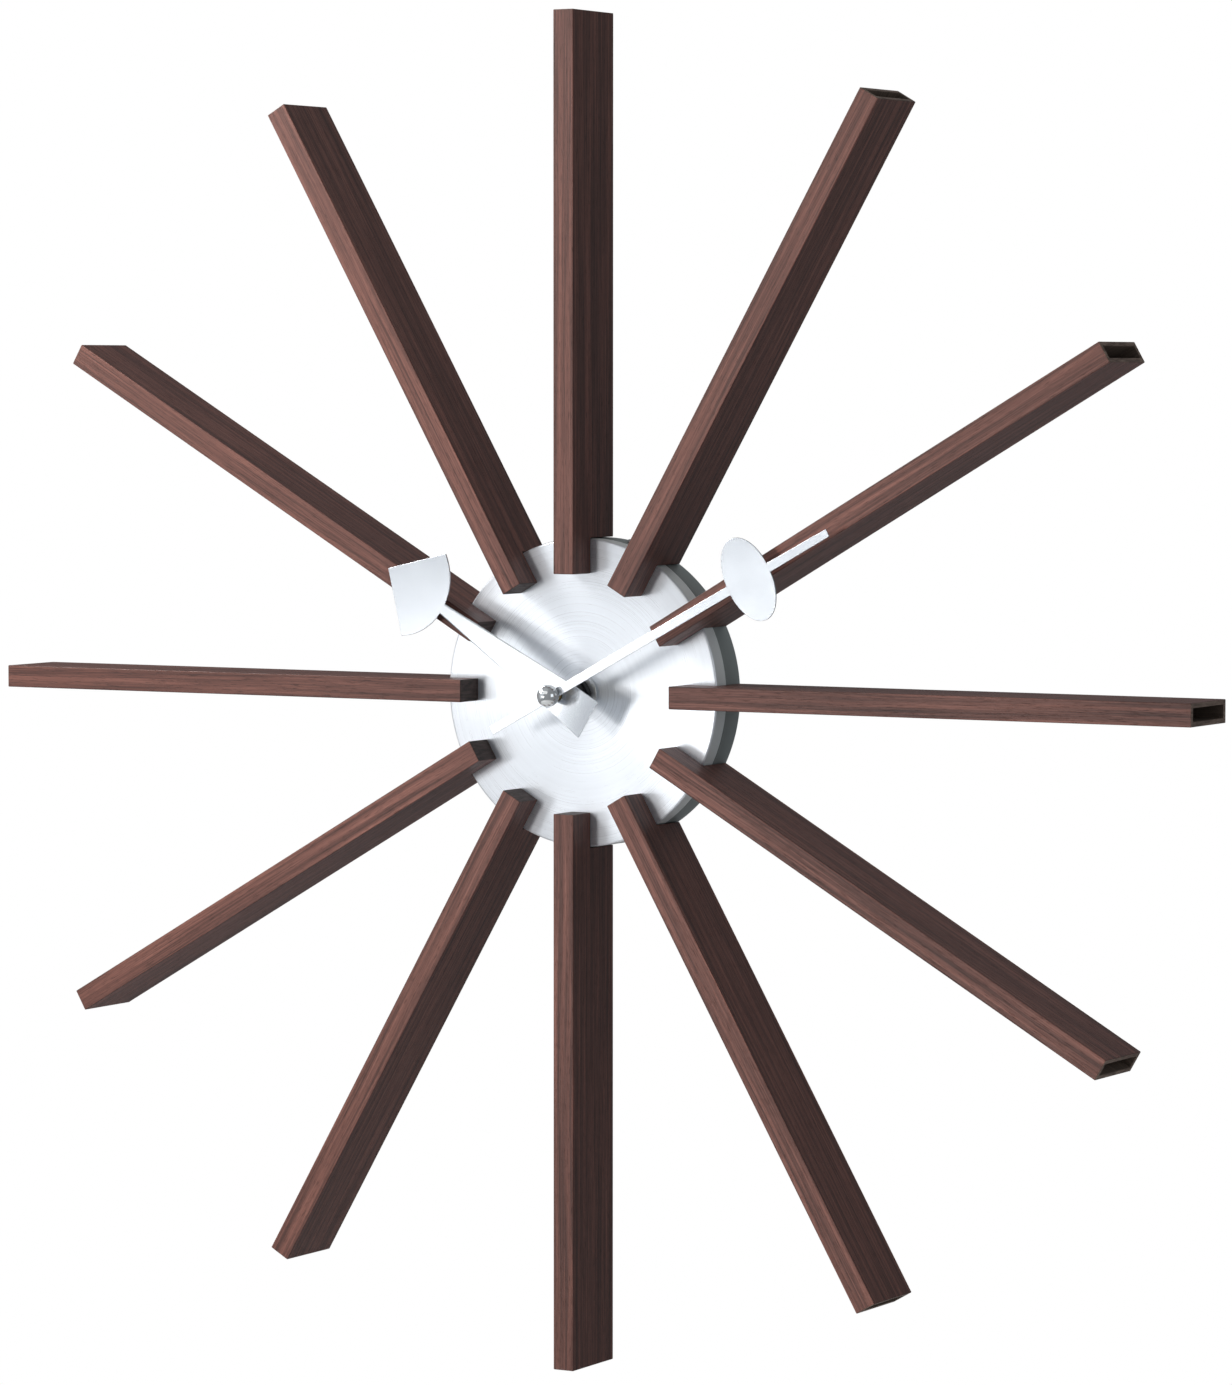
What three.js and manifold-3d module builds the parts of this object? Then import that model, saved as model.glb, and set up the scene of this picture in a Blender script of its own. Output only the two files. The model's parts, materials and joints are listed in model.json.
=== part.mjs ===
// Sunburst wall clock: twelve hollow wooden rays round a spun aluminium dial, with a quartz movement.
//
// Every piece is laid out in a bench frame, as if the clock lay on its back on a table:
//   x  to the right as seen from the front
//   y  towards twelve o'clock
//   z  height above the wall plane, towards the viewer
// The last lines of the file stand the clock up, so that +Z is up and the wall is the plane Y = 0.

import * as THREE from "three";
import { mergeVertices } from "three/addons/utils/BufferGeometryUtils.js";
import Module from "manifold-3d";

const wasm = await Module();
wasm.setup();

// ---------------------------------------------------------------- driving dimensions (mm, degrees)

const GAP = 0.3; // clearance kept between neighbouring pieces
const CUT = 1; // how far a cutting solid runs past the face that it opens

const CLOCK_RADIUS = 305; // dial axis to a ray's outer end
const RAY_COUNT = 12;
const RAY_WIDTH = 10.2;
const RAY_BACK = 2; // height of a ray's back face above the wall
const RAY_FRONT = 38.4;
const RAY_WALL = 2.2; // wall of the hollow box
const RAY_NOSE_RADIUS = 53.8; // where the shallow nose ends, over the dial
const RAY_SOLID_ROOT = 25; // length of solid wood between the drum and the hollow

const DIAL_RADIUS = 69.5;
const DIAL_FRONT = 22.3;
const DIAL_SHEET = 1;
const DIAL_SKIRT = 9; // depth of the pan, front face to skirt edge
const DIAL_HOLE_RADIUS = 4.3;

const DRUM_SHEET = 1.5;
const DRUM_LIP_RADIUS = 63; // inner edge of the flange that lies on the wall
const DRUM_LIP = 1.2;
const SPIGOT_SHEET = 1.2; // the dial's skirt slides over this ring

const SCREW_SHANK_RADIUS = 1.6;
const SCREW_HEAD_RADIUS = 2.75;
const SCREW_HEAD = 2.1;
const SCREW_REACH = 15.2; // length of thread in the ray
const SCREW_TIP = 2;
const SCREW_SLOT_WIDTH = 0.8;

const HANGER_SHEET = 1.4;
const HANGER_HALF_WIDTH = 24;
const HANGER_LOW_EDGE = 42; // distance of its lower edge above the dial axis
const HANGER_FLANGE_TOP = 10.5;
const KEYHOLE_ENTRY_RADIUS = 4.75;
const KEYHOLE_SLOT_RADIUS = 2.6;
const KEYHOLE_ENTRY_Y = 48.5;
const KEYHOLE_SLOT_Y = 57;
const RIVET_ANGLE = 15; // from twelve o'clock, one on each side
const RIVET_HEIGHT = 6.5;
const RIVET_RADIUS = 1.5;
const RIVET_SET_HEAD = 1; // height of the head inside the flange
const RIVET_DOME = 1.1; // height of the dome outside the drum

const CASE_SIDE = 56; // the common square size of a clock movement
const CASE_CORNER = 2;
const CASE_BACK = 4.5;
const CASE_FRONT = 19.7;
const CASE_WALL = 1.5;
const BUSH_RADIUS = 4; // M8 bush through the dial
const BUSH_BORE = 2.8;
const BUSH_FRONT = 30;
const BUSH_CHAMFER = 0.4;
const GASKET_RADIUS = 14;
const WASHER_RADIUS = 8.5;
const WASHER_SHEET = 0.8;
const BUSH_NUT_CORNER = 6.35; // half of the hexagon across its corners: 11 mm across the flats
const BUSH_NUT_HEIGHT = 3;
const PARTITION_TOP = -10.4; // wall between the wheels and the battery bay
const PARTITION_LOW = -11.4;
const BAY_LOW = -26.9;
const BAY_ROOF = 18.7;
const COVER_SHEET = 1.5;

const CELL_RADIUS = 7.25; // AA cell
const CELL_LEFT = -24;
const CELL_RIGHT = 24.3;
const CELL_NUB_RADIUS = 2.75;
const CELL_NUB = 1.2;
const CELL_Y = (PARTITION_LOW + BAY_LOW) / 2;
const CELL_Z = BAY_ROOF - 0.35 - CELL_RADIUS;

const MOTION_MODULE = 0.5;
const TRAIN_MODULE = 0.3;
const CANNON_TEETH = 10;
const MOTION_TEETH = 30;
const MOTION_PINION_TEETH = 8;
const HOUR_TEETH = 32;
const KNOB_TEETH = 10;
const PINION_TEETH = 8; // every pinion of the going train
const CENTRE_TEETH = 64;
const THIRD_TEETH = 60;
const SECONDS_TEETH = 48;
const INTERMEDIATE_TEETH = 40;
const LIGHTENING = { centre: 2.2, third: 2.2, seconds: 1.6, intermediate: 1.3, motion: 1.7 }; // hole radii
const CENTRE_HOLES = 5;
const ADDENDUM = 0.7; // in modules
const DEDENDUM = 1.1;
const TIP_SHARE = 0.17; // a tooth's width at its tip, as a share of the pitch
const ROOT_SHARE = 0.42;

const ARBOR_RADIUS = 0.5;
const ARBOR_BACK = 0.5; // how far an arbor goes into the cover's recess
const ARBOR_SHORT = 0.2; // how far an arbor stays below the train plate's face
const PIVOT_HOLE_RADIUS = 0.85;
const PIVOT_RECESS = 0.8;
const REAR_PIVOT_RADIUS = 0.7; // of the minute arbor
const REAR_PIVOT_SHORT = 0.4;
const MINUTE_ARBOR_RADIUS = 1.4;
const MINUTE_TIP_RADIUS = 1.2;
const MINUTE_TIP_LENGTH = 3; // thread in the cap nut
const COLLAR_RADIUS = 2.4; // of the minute arbor's collar under the clutch spring
const CLUTCH_HUB_RADIUS = 2.8;
const CLUTCH_ARMS = 3;
const CLUTCH_ARM_HALF = 0.8;
const CLUTCH_ARM_REACH = 5.2;
const PIPE_BORE = 1.7; // bore of the hour wheel's pipe
const PIPE_RADIUS = 2.5;
const PIPE_PROUD = 0.5; // how far the pipe stands past the hour hand
const STUD_RADIUS = 0.8; // the motion wheel's stud
const MOTION_BORE = 1.1;
const MAGNET_RADIUS = 3;

const KNOB_RADIUS = 6;
const KNOB_BACK = 1.2;
const KNOB_SHAFT_RADIUS = 1.2;
const KNOB_NOTCHES = 12;
const KNOB_NOTCH_RADIUS = 0.9;

// The train plate: its edges, cut corners, and the three pillars to the front wall
const PLATE_LEFT = -17.5;
const PLATE_RIGHT = 14;
const PLATE_BOTTOM = -7.5;
const PLATE_TOP = 16;
const PLATE_CORNER = 3;
const PILLAR_RADIUS = 1.3;
const PILLARS = [
  [-15, 13.5],
  [10.5, 14],
  [-15, -5.6],
];

// The motor: a coil along the left wall, and a stator from its ends to the rotor
const CORE_X = -22.6;
const CORE_HALF = 1.1; // half of the core's width
const CORE_LOW = -9.1;
const CORE_HIGH = 23.1;
const CLAMP_RADIUS = 1.1; // posts that clamp the core and the stator together
const CLAMP_ENDS = [-7.9, 21.9];
const COIL_RADIUS = 3;
const COIL_FLANGE_RADIUS = 3.3;
const COIL_FLANGE = 1;
const COIL_LOW = -6;
const COIL_HIGH = 20;
const STATOR_ARM = 2.6; // width of its arms
const STATOR_OVERHANG = 1.6; // how far its arms reach past the core's axis
const STATOR_RING_OUTER = 5.8;
const STATOR_RING_INNER = 3.5;
const STATOR_SIDE_LEFT = -18.9;

const BOARD_LEFT = 12.6;
const BOARD_LOW = 10.5;
const CRYSTAL = { x: 22.5, y: 19, radius: 1, length: 6 };
const CHIP = { x: 16.8, y: 16.5, radius: 3, height: 1 };
const CONTACT_HALF = 5; // half of the positive plate's side
const CONTACT_SHEET = 0.5;
const LEAF_HALF_WIDTH = 3;
const LEAF_SHEET = 0.4;
const LEAF_REACH = 5.5; // half of the leaf's height
const LEAF_RIM = 2;
const LEAF_POINT = 0.6; // half of the flat that touches the cell

// Directions in the bench plane, anticlockwise from +x
const MOTION_DIRECTION = 10;
const KNOB_DIRECTION = -10;
const THIRD_DIRECTION = 80;
const SECONDS_DIRECTION = 175;
const INTERMEDIATE_DIRECTION = -120;
const ROTOR_DIRECTION = -100;

// Heights of the wheels: [back, front]
const LEVEL = {
  intermediateWheel: [6.7, 7.5],
  rotorPinion: [6.5, 7.8],
  secondsWheel: [7.8, 8.6],
  intermediatePinion: [7.5, 8.8],
  rotorMagnet: [8.4, 11.6],
  thirdWheel: [8.9, 9.7],
  secondsPinion: [8.6, 9.9],
  stator: [9.5, 10.5],
  arborCollar: [10, 10.4],
  clutch: [10.7, 11.2],
  coilCore: [10.8, 11.8],
  thirdPinion: [11.3, 12.6],
  centreWheel: [11.5, 12.5],
  trainPlate: [12.9, 13.9],
  cannonPinion: [14.4, 16.2],
  motionWheel: [14.7, 15.9],
  motionPinion: [15.9, 17.9],
  hourWheel: [16.6, 17.9],
  board: [16.9, 17.9],
};

const HAND_SHEET = 0.8;
const HOUR_HAND_BACK = 43.3;
const MINUTE_HAND_BACK = 48.8;
const HOUR_ANGLE = 301.9; // clockwise from twelve
const MINUTE_ANGLE = 61.7;

const MINUTE_TIP = 157.5;
const MINUTE_TAIL = 35;
const MINUTE_TIP_HALF = 1.75;
const MINUTE_TAIL_HALF = 1.9;
const MINUTE_OVAL_Y = 113.5;
const MINUTE_OVAL_ACROSS = 19.6; // half of the oval's long axis
const MINUTE_OVAL_ALONG = 11.3;
const MINUTE_BOSS_RADIUS = 4.1;

const HOUR_TIP = 104.3;
const HOUR_TAIL = 20;
const HOUR_TAIL_HALF = 9.5;
const HOUR_NECK_Y = 72;
const HOUR_NECK_HALF = 2.4;
const HOUR_BOW_CENTRE = 97.2; // the paddle's inner edge is an arc about this point
const HOUR_BOW_RADIUS = 26.7;
const HOUR_COLLET_RADIUS = 4.4;
const HOUR_COLLET_BACK = 39.6;
const HOUR_BEND_AT = 6; // the tail is bent towards the viewer from this far below the axis
const HOUR_BEND = 7;

const NUT_RADIUS = 5; // the ball of the cap nut
const NUT_BACK = 49.9;
const NUT_BALL_CENTRE = 52;
const NUT_HOLE_DEPTH = 3.6;

// ---------------------------------------------------------------- helpers

const radians = THREE.MathUtils.degToRad;

/** A three.js geometry as a manifold solid. */
function solid(geometry) {
  const bare = geometry.clone();
  bare.deleteAttribute("normal");
  bare.deleteAttribute("uv");
  const merged = mergeVertices(bare, 1e-4);
  const corners = [];
  const index = merged.index.array;
  for (let i = 0; i < index.length; i += 3) {
    const [a, b, c] = index.slice(i, i + 3);
    if (a !== b && b !== c && c !== a) corners.push(a, b, c);
  }
  const vertProperties = Float32Array.from(merged.attributes.position.array);
  const triVerts = Uint32Array.from(corners);
  return new wasm.Manifold(new wasm.Mesh({ numProp: 3, vertProperties, triVerts }));
}

/** A manifold solid as a geometry for a mesh. */
function geometryOf(shape) {
  const mesh = shape.getMesh();
  const geometry = new THREE.BufferGeometry();
  geometry.setAttribute("position", new THREE.BufferAttribute(mesh.vertProperties, 3));
  geometry.setIndex(new THREE.BufferAttribute(mesh.triVerts, 1));
  geometry.computeVertexNormals();
  return geometry;
}

/** Several solids joined into one. */
function joined(...shapes) {
  return shapes.reduce((whole, shape) => whole.add(shape));
}

/** An outline in the x-y plane, extruded from height low to height high. */
function plate(outline, low, high, curveSegments = 12) {
  const depth = high - low;
  const geometry = new THREE.ExtrudeGeometry(outline, { depth, bevelEnabled: false, curveSegments });
  return solid(geometry.translate(0, 0, low));
}

/** An outline of (y, z) points, extruded along x to both sides of x = 0. */
function crosswise(outline, width) {
  const geometry = new THREE.ExtrudeGeometry(outline, { depth: width, bevelEnabled: false });
  const alongX = new THREE.Vector3(1, 0, 0);
  const alongY = new THREE.Vector3(0, 1, 0);
  const alongZ = new THREE.Vector3(0, 0, 1);
  geometry.applyMatrix4(new THREE.Matrix4().makeBasis(alongY, alongZ, alongX));
  return solid(geometry.translate(-width / 2, 0, 0));
}

/** A profile of [radius, height] points, turned about the z axis. A hollow one closes on itself. */
function turned(profile, segments = 24) {
  const points = profile.map(([radius, height]) => new THREE.Vector2(radius, height));
  if (points[0].x > 0 || points.at(-1).x > 0) points.push(points[0].clone());
  return solid(new THREE.LatheGeometry(points, segments).rotateX(Math.PI / 2));
}

/** A cylinder about the z axis through (x, y). */
function post(x, y, radius, low, high, segments = 16) {
  const geometry = new THREE.CylinderGeometry(radius, radius, high - low, segments).rotateX(Math.PI / 2);
  return solid(geometry.translate(x, y, (low + high) / 2));
}

/** A block between two corners. */
function block(x0, x1, y0, y1, z0, z1) {
  const geometry = new THREE.BoxGeometry(x1 - x0, y1 - y0, z1 - z0);
  return solid(geometry.translate((x0 + x1) / 2, (y0 + y1) / 2, (z0 + z1) / 2));
}

/** A solid made about the z axis, laid along +y at a height above the wall. */
function radial(shape, height) {
  return shape.rotate([-90, 0, 0]).translate([0, 0, height]);
}

/** Copies of a solid, evenly spaced about the z axis. */
function aroundAxis(shape, count) {
  return joined(...Array.from({ length: count }, (_, i) => shape.rotate([0, 0, (360 / count) * i])));
}

/** A clock-face angle, clockwise from twelve, as an anticlockwise turn about z in degrees. */
function clockwise(angle) {
  return -angle;
}

/** The outline through a list of [x, y] points. */
function polygon(points) {
  return new THREE.Shape(points.map(([x, y]) => new THREE.Vector2(x, y)));
}

/** A point at a distance and a direction from another. */
function polar(from, distance, direction) {
  const angle = radians(direction);
  return { x: from.x + distance * Math.cos(angle), y: from.y + distance * Math.sin(angle) };
}

const clock = new THREE.Group();

/** Adds a finished piece to the clock as a named mesh. */
function piece(name, shape, finish) {
  const mesh = new THREE.Mesh(geometryOf(shape), finish);
  mesh.name = name;
  clock.add(mesh);
  return mesh;
}

function finish(color, roughness, metalness) {
  return new THREE.MeshStandardMaterial({ color, roughness, metalness, flatShading: true });
}

const WALNUT = finish(0x5b3b33, 0.6, 0);
const SPUN_ALUMINIUM = finish(0xdde1e8, 0.35, 1);
const GREY_PAINT = finish(0x6c7473, 0.5, 0.3);
const SATIN_ALUMINIUM = finish(0xe4e6ea, 0.35, 1);
const CHROME = finish(0xd8d8d8, 0.1, 1);
const BLACKENED_STEEL = finish(0x2b2c2e, 0.45, 1);
const BRASS = finish(0xb99a55, 0.3, 1);
const ZINC_STEEL = finish(0xa9abae, 0.4, 1);
const BLACK_PLASTIC = finish(0x1c1c1e, 0.55, 0);
const IVORY_PLASTIC = finish(0xe6e2d6, 0.45, 0);
const RUBBER = finish(0x141414, 0.9, 0);
const COPPER = finish(0xb0643a, 0.35, 1);
const BOARD_GREEN = finish(0x2f5f3a, 0.5, 0);
const CELL_JACKET = finish(0x2a3542, 0.4, 0.2);

// ---------------------------------------------------------------- rays and the screws that hold them

const rayRoot = DIAL_RADIUS + GAP;
const screwHeight = DIAL_FRONT - DIAL_SKIRT / 2 - DIAL_SHEET / 2;
const skirtInner = DIAL_RADIUS - DIAL_SHEET;
const spigotOuter = skirtInner - GAP;
const spigotInner = spigotOuter - SPIGOT_SHEET;
const screwHole = SCREW_SHANK_RADIUS + GAP;

/** One ray pointing to twelve: an L-shaped outline, hollowed from its outer end. */
function ray() {
  const outline = polygon([
    [RAY_NOSE_RADIUS, DIAL_FRONT + GAP],
    [rayRoot, DIAL_FRONT + GAP],
    [rayRoot, RAY_BACK],
    [CLOCK_RADIUS, RAY_BACK],
    [CLOCK_RADIUS, RAY_FRONT],
    [RAY_NOSE_RADIUS, RAY_FRONT],
  ]);
  const half = RAY_WIDTH / 2 - RAY_WALL;
  const hollow = block(
    -half,
    half,
    rayRoot + RAY_SOLID_ROOT,
    CLOCK_RADIUS + CUT,
    RAY_BACK + RAY_WALL,
    RAY_FRONT - RAY_WALL,
  );
  const pilotLength = SCREW_REACH + SCREW_TIP + CUT;
  const pilot = radial(post(0, 0, screwHole, rayRoot - CUT, rayRoot + pilotLength, 10), screwHeight);
  return crosswise(outline, RAY_WIDTH).subtract(hollow).subtract(pilot);
}

/** A slotted pan-head wood screw, driven outwards from inside the drum. */
function rayScrew() {
  const seat = spigotInner - GAP;
  const body = turned(
    [
      [0, seat - SCREW_HEAD],
      [SCREW_HEAD_RADIUS * 0.7, seat - SCREW_HEAD],
      [SCREW_HEAD_RADIUS, seat - SCREW_HEAD * 0.55],
      [SCREW_HEAD_RADIUS, seat],
      [SCREW_SHANK_RADIUS, seat],
      [SCREW_SHANK_RADIUS, rayRoot + SCREW_REACH],
      [0, rayRoot + SCREW_REACH + SCREW_TIP],
    ],
    10,
  );
  const slotDepth = SCREW_HEAD * 0.45;
  const slotBottom = seat - SCREW_HEAD + slotDepth;
  const slotReach = SCREW_HEAD_RADIUS + CUT;
  const slotHalf = SCREW_SLOT_WIDTH / 2;
  const slot = block(-slotReach, slotReach, -slotHalf, slotHalf, slotBottom - slotDepth - CUT, slotBottom);
  return radial(body.subtract(slot), screwHeight);
}

for (let i = 0; i < RAY_COUNT; i++) {
  const hour = String(i === 0 ? RAY_COUNT : i).padStart(2, "0");
  const turn = radians(clockwise((360 / RAY_COUNT) * i));
  piece(`ray_${hour}`, ray(), WALNUT).rotation.z = turn;
  piece(`ray_screw_${hour}`, rayScrew(), ZINC_STEEL).rotation.z = turn;
}

/** The holes that the ray screws pass through, as one cutting solid. */
function screwHoles(inner, outer) {
  return aroundAxis(radial(post(0, 0, screwHole, inner, outer, 10), screwHeight), RAY_COUNT);
}

// ---------------------------------------------------------------- dial, drum and hanger

const ROUND = 60; // facets round the dial and the drum

/** A shallow pan: flat disc, softly rounded edge, skirt. */
function dialFace() {
  const skirtEdge = DIAL_FRONT - DIAL_SKIRT;
  const soft = 0.3;
  const pan = turned(
    [
      [DIAL_HOLE_RADIUS, DIAL_FRONT - DIAL_SHEET],
      [skirtInner, DIAL_FRONT - DIAL_SHEET],
      [skirtInner, skirtEdge],
      [DIAL_RADIUS, skirtEdge],
      [DIAL_RADIUS, DIAL_FRONT - soft],
      [DIAL_RADIUS - soft, DIAL_FRONT],
      [DIAL_HOLE_RADIUS, DIAL_FRONT],
    ],
    ROUND,
  );
  return pan.subtract(screwHoles(skirtInner - CUT, DIAL_RADIUS + CUT));
}

/** Two cylinders along the radii where the hanger's rivets go. */
function rivetHoles(inner, outer) {
  const hole = radial(post(0, 0, RIVET_RADIUS + GAP, inner, outer, 12), RIVET_HEIGHT);
  return hole.rotate([0, 0, RIVET_ANGLE]).add(hole.rotate([0, 0, -RIVET_ANGLE]));
}

/** The ring behind the dial: a lip on the wall, a full-size wall, and a spigot inside the dial's skirt. */
function drumCase() {
  const shoulder = DIAL_FRONT - DIAL_SKIRT - GAP;
  const spigotTop = DIAL_FRONT - DIAL_SHEET - GAP;
  const wallInner = DIAL_RADIUS - DRUM_SHEET;
  const jog = 1; // the spigot steps inwards over this height
  const ring = turned(
    [
      [DRUM_LIP_RADIUS, 0],
      [DIAL_RADIUS, 0],
      [DIAL_RADIUS, shoulder],
      [spigotOuter, shoulder],
      [spigotOuter, spigotTop],
      [spigotInner, spigotTop],
      [spigotInner, shoulder - jog],
      [wallInner, shoulder - 2 * jog],
      [wallInner, DRUM_LIP],
      [DRUM_LIP_RADIUS, DRUM_LIP],
    ],
    ROUND,
  );
  const holes = screwHoles(spigotInner - CUT, DIAL_RADIUS + CUT);
  return ring.subtract(holes).subtract(rivetHoles(wallInner - CUT, DIAL_RADIUS + CUT));
}

const flangeOuter = DIAL_RADIUS - DRUM_SHEET - GAP;
const hangerBack = DRUM_LIP + GAP;

/** A bent steel plate across the top of the drum, with a keyhole for one wall screw. */
function hangerPlate() {
  const reach = Math.asin(HANGER_HALF_WIDTH / flangeOuter);
  const up = Math.PI / 2;
  const outline = new THREE.Shape();
  outline.moveTo(-HANGER_HALF_WIDTH, HANGER_LOW_EDGE);
  outline.lineTo(HANGER_HALF_WIDTH, HANGER_LOW_EDGE);
  outline.absarc(0, 0, flangeOuter, up - reach, up + reach, false);
  const keyhole = new THREE.Path();
  const meets = Math.asin(KEYHOLE_SLOT_RADIUS / KEYHOLE_ENTRY_RADIUS); // where the slot leaves the entry
  keyhole.absarc(0, KEYHOLE_SLOT_Y, KEYHOLE_SLOT_RADIUS, 0, Math.PI, false);
  keyhole.absarc(0, KEYHOLE_ENTRY_Y, KEYHOLE_ENTRY_RADIUS, up + meets, up - meets + 2 * Math.PI, false);
  outline.holes.push(keyhole);
  const back = plate(outline, hangerBack, hangerBack + HANGER_SHEET, 9);
  const flange = new THREE.Shape();
  flange.absarc(0, 0, flangeOuter, up - reach, up + reach, false);
  flange.absarc(0, 0, flangeOuter - HANGER_SHEET, up + reach, up - reach, true);
  const bent = plate(flange, hangerBack, HANGER_FLANGE_TOP, 9);
  return back.add(bent).subtract(rivetHoles(flangeOuter - HANGER_SHEET - CUT, flangeOuter + CUT));
}

/** A rivet with a low dome outside the drum and a set head inside the flange. */
function hangerRivet() {
  const inside = flangeOuter - HANGER_SHEET - 2 * GAP;
  const outside = DIAL_RADIUS + GAP;
  const body = turned(
    [
      [0, inside - RIVET_SET_HEAD],
      [RIVET_RADIUS * 1.2, inside - RIVET_SET_HEAD],
      [RIVET_RADIUS * 1.5, inside],
      [RIVET_RADIUS, inside],
      [RIVET_RADIUS, outside],
      [RIVET_RADIUS * 1.9, outside],
      [RIVET_RADIUS * 1.4, outside + RIVET_DOME * 0.7],
      [0, outside + RIVET_DOME],
    ],
    12,
  );
  return radial(body, RIVET_HEIGHT);
}

piece("dial_face", dialFace(), SPUN_ALUMINIUM);
piece("drum_case", drumCase(), GREY_PAINT);
piece("hanger_plate", hangerPlate(), ZINC_STEEL);
piece("hanger_rivet_left", hangerRivet(), ZINC_STEEL).rotation.z = radians(RIVET_ANGLE);
piece("hanger_rivet_right", hangerRivet(), ZINC_STEEL).rotation.z = radians(-RIVET_ANGLE);

// ---------------------------------------------------------------- gear layout

/** Distance between the axes of two gears in mesh. */
function meshDistance(teethA, teethB, module) {
  return ((teethA + teethB) * module) / 2;
}

const centre = { x: 0, y: 0 };
const motionAt = polar(centre, meshDistance(CANNON_TEETH, MOTION_TEETH, MOTION_MODULE), MOTION_DIRECTION);
const knobAt = polar(motionAt, meshDistance(MOTION_TEETH, KNOB_TEETH, MOTION_MODULE), KNOB_DIRECTION);
const thirdAt = polar(centre, meshDistance(CENTRE_TEETH, PINION_TEETH, TRAIN_MODULE), THIRD_DIRECTION);
const secondsAt = polar(thirdAt, meshDistance(THIRD_TEETH, PINION_TEETH, TRAIN_MODULE), SECONDS_DIRECTION);
const intermediateAt = polar(
  secondsAt,
  meshDistance(SECONDS_TEETH, PINION_TEETH, TRAIN_MODULE),
  INTERMEDIATE_DIRECTION,
);
const rotorAt = polar(
  intermediateAt,
  meshDistance(INTERMEDIATE_TEETH, PINION_TEETH, TRAIN_MODULE),
  ROTOR_DIRECTION,
);

/** The outline of a gear with straight-flanked teeth, one of them centred on the direction phase. */
function gearOutline(teeth, module, phase) {
  const pitchRadius = (teeth * module) / 2;
  const tip = pitchRadius + ADDENDUM * module;
  const root = pitchRadius - DEDENDUM * module;
  const pitch = 360 / teeth;
  const points = [];
  for (let i = 0; i < teeth; i++) {
    const axis = phase + i * pitch;
    const corners = [
      [root, -ROOT_SHARE / 2],
      [tip, -TIP_SHARE / 2],
      [tip, TIP_SHARE / 2],
      [root, ROOT_SHARE / 2],
    ];
    for (const [radius, share] of corners) {
      const angle = radians(axis + share * pitch);
      points.push([radius * Math.cos(angle), radius * Math.sin(angle)]);
    }
  }
  return polygon(points);
}

/** A toothed disc about the z axis, with a bore where one is given. */
function gear(teeth, module, phase, [low, high], bore = 0) {
  const outline = gearOutline(teeth, module, phase);
  if (bore > 0) {
    const hole = new THREE.Path();
    hole.absarc(0, 0, bore, 0, 2 * Math.PI, true);
    outline.holes.push(hole);
  }
  return plate(outline, low, high, 10);
}

/** The phase that puts a gear's gap where its partner, at the given direction from it, has a tooth. */
function phaseInMesh(teeth, partnerTeeth, partnerPhase, directionFromPartner) {
  const offset = partnerPhase - directionFromPartner;
  return directionFromPartner + 180 - (partnerTeeth / teeth) * offset - 180 / teeth;
}

// ---------------------------------------------------------------- movement case

const half = CASE_SIDE / 2;
const inside = half - CASE_WALL;
const frontWall = CASE_FRONT - CASE_WALL;
const coverFront = CASE_BACK + COVER_SHEET;

/** A square outline with rounded corners. */
function roundedSquare(reach, corner) {
  const outline = new THREE.Shape();
  const flat = reach - corner;
  outline.absarc(flat, flat, corner, 0, Math.PI / 2, false);
  outline.absarc(-flat, flat, corner, Math.PI / 2, Math.PI, false);
  outline.absarc(-flat, -flat, corner, Math.PI, Math.PI * 1.5, false);
  outline.absarc(flat, -flat, corner, Math.PI * 1.5, Math.PI * 2, false);
  return outline;
}

/** The front shell: wheel chamber, battery bay, and the threaded bush that goes through the dial. */
function movementHousing() {
  const shell = plate(roundedSquare(half, CASE_CORNER), CASE_BACK, CASE_FRONT, 4);
  const chamber = block(-inside, inside, PARTITION_TOP, inside, CASE_BACK - CUT, frontWall);
  const bay = block(-inside, inside, BAY_LOW, PARTITION_LOW, CASE_BACK - CUT, BAY_ROOF);
  const bush = turned(
    [
      [0, frontWall],
      [BUSH_RADIUS, frontWall],
      [BUSH_RADIUS, BUSH_FRONT - BUSH_CHAMFER],
      [BUSH_RADIUS - BUSH_CHAMFER, BUSH_FRONT],
      [0, BUSH_FRONT],
    ],
    24,
  );
  const bore = post(0, 0, BUSH_BORE, frontWall - CUT, BUSH_FRONT + CUT, 24);
  const postBack = LEVEL.coilCore[1] + GAP;
  const posts = CLAMP_ENDS.map((y) => post(CORE_X, y, CLAMP_RADIUS, postBack, frontWall + CUT / 2, 10));
  return joined(shell.subtract(chamber).subtract(bay), bush, ...posts).subtract(bore);
}

/** The holes for the four plain arbors, as a list of cutting solids. */
function pivotHoles(low, high) {
  const pivots = [thirdAt, secondsAt, intermediateAt, rotorAt];
  return pivots.map((at) => post(at.x, at.y, PIVOT_HOLE_RADIUS, low, high, 10));
}

/** The rear cover over the wheels, with pivot recesses and the posts under the stator. */
function movementCover() {
  const sheet = block(-inside + GAP, inside - GAP, PARTITION_TOP + GAP, inside - GAP, CASE_BACK, coverFront);
  const postFront = LEVEL.stator[0] - GAP;
  const posts = CLAMP_ENDS.map((y) => post(CORE_X, y, CLAMP_RADIUS, coverFront - CUT / 2, postFront, 10));
  const recesses = pivotHoles(coverFront - PIVOT_RECESS, coverFront + CUT);
  const centreHole = post(0, 0, REAR_PIVOT_RADIUS + GAP, CASE_BACK - CUT, coverFront + CUT, 12);
  const knobHoleRadius = KNOB_SHAFT_RADIUS + GAP;
  const knobHole = post(knobAt.x, knobAt.y, knobHoleRadius, CASE_BACK - CUT, coverFront + CUT, 12);
  return joined(sheet, ...posts).subtract(joined(...recesses, centreHole, knobHole));
}

/** A flat ring. */
function ring(inner, outer, low, high, segments = 24) {
  return turned([[inner, low], [outer, low], [outer, high], [inner, high]], segments);
}

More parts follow.
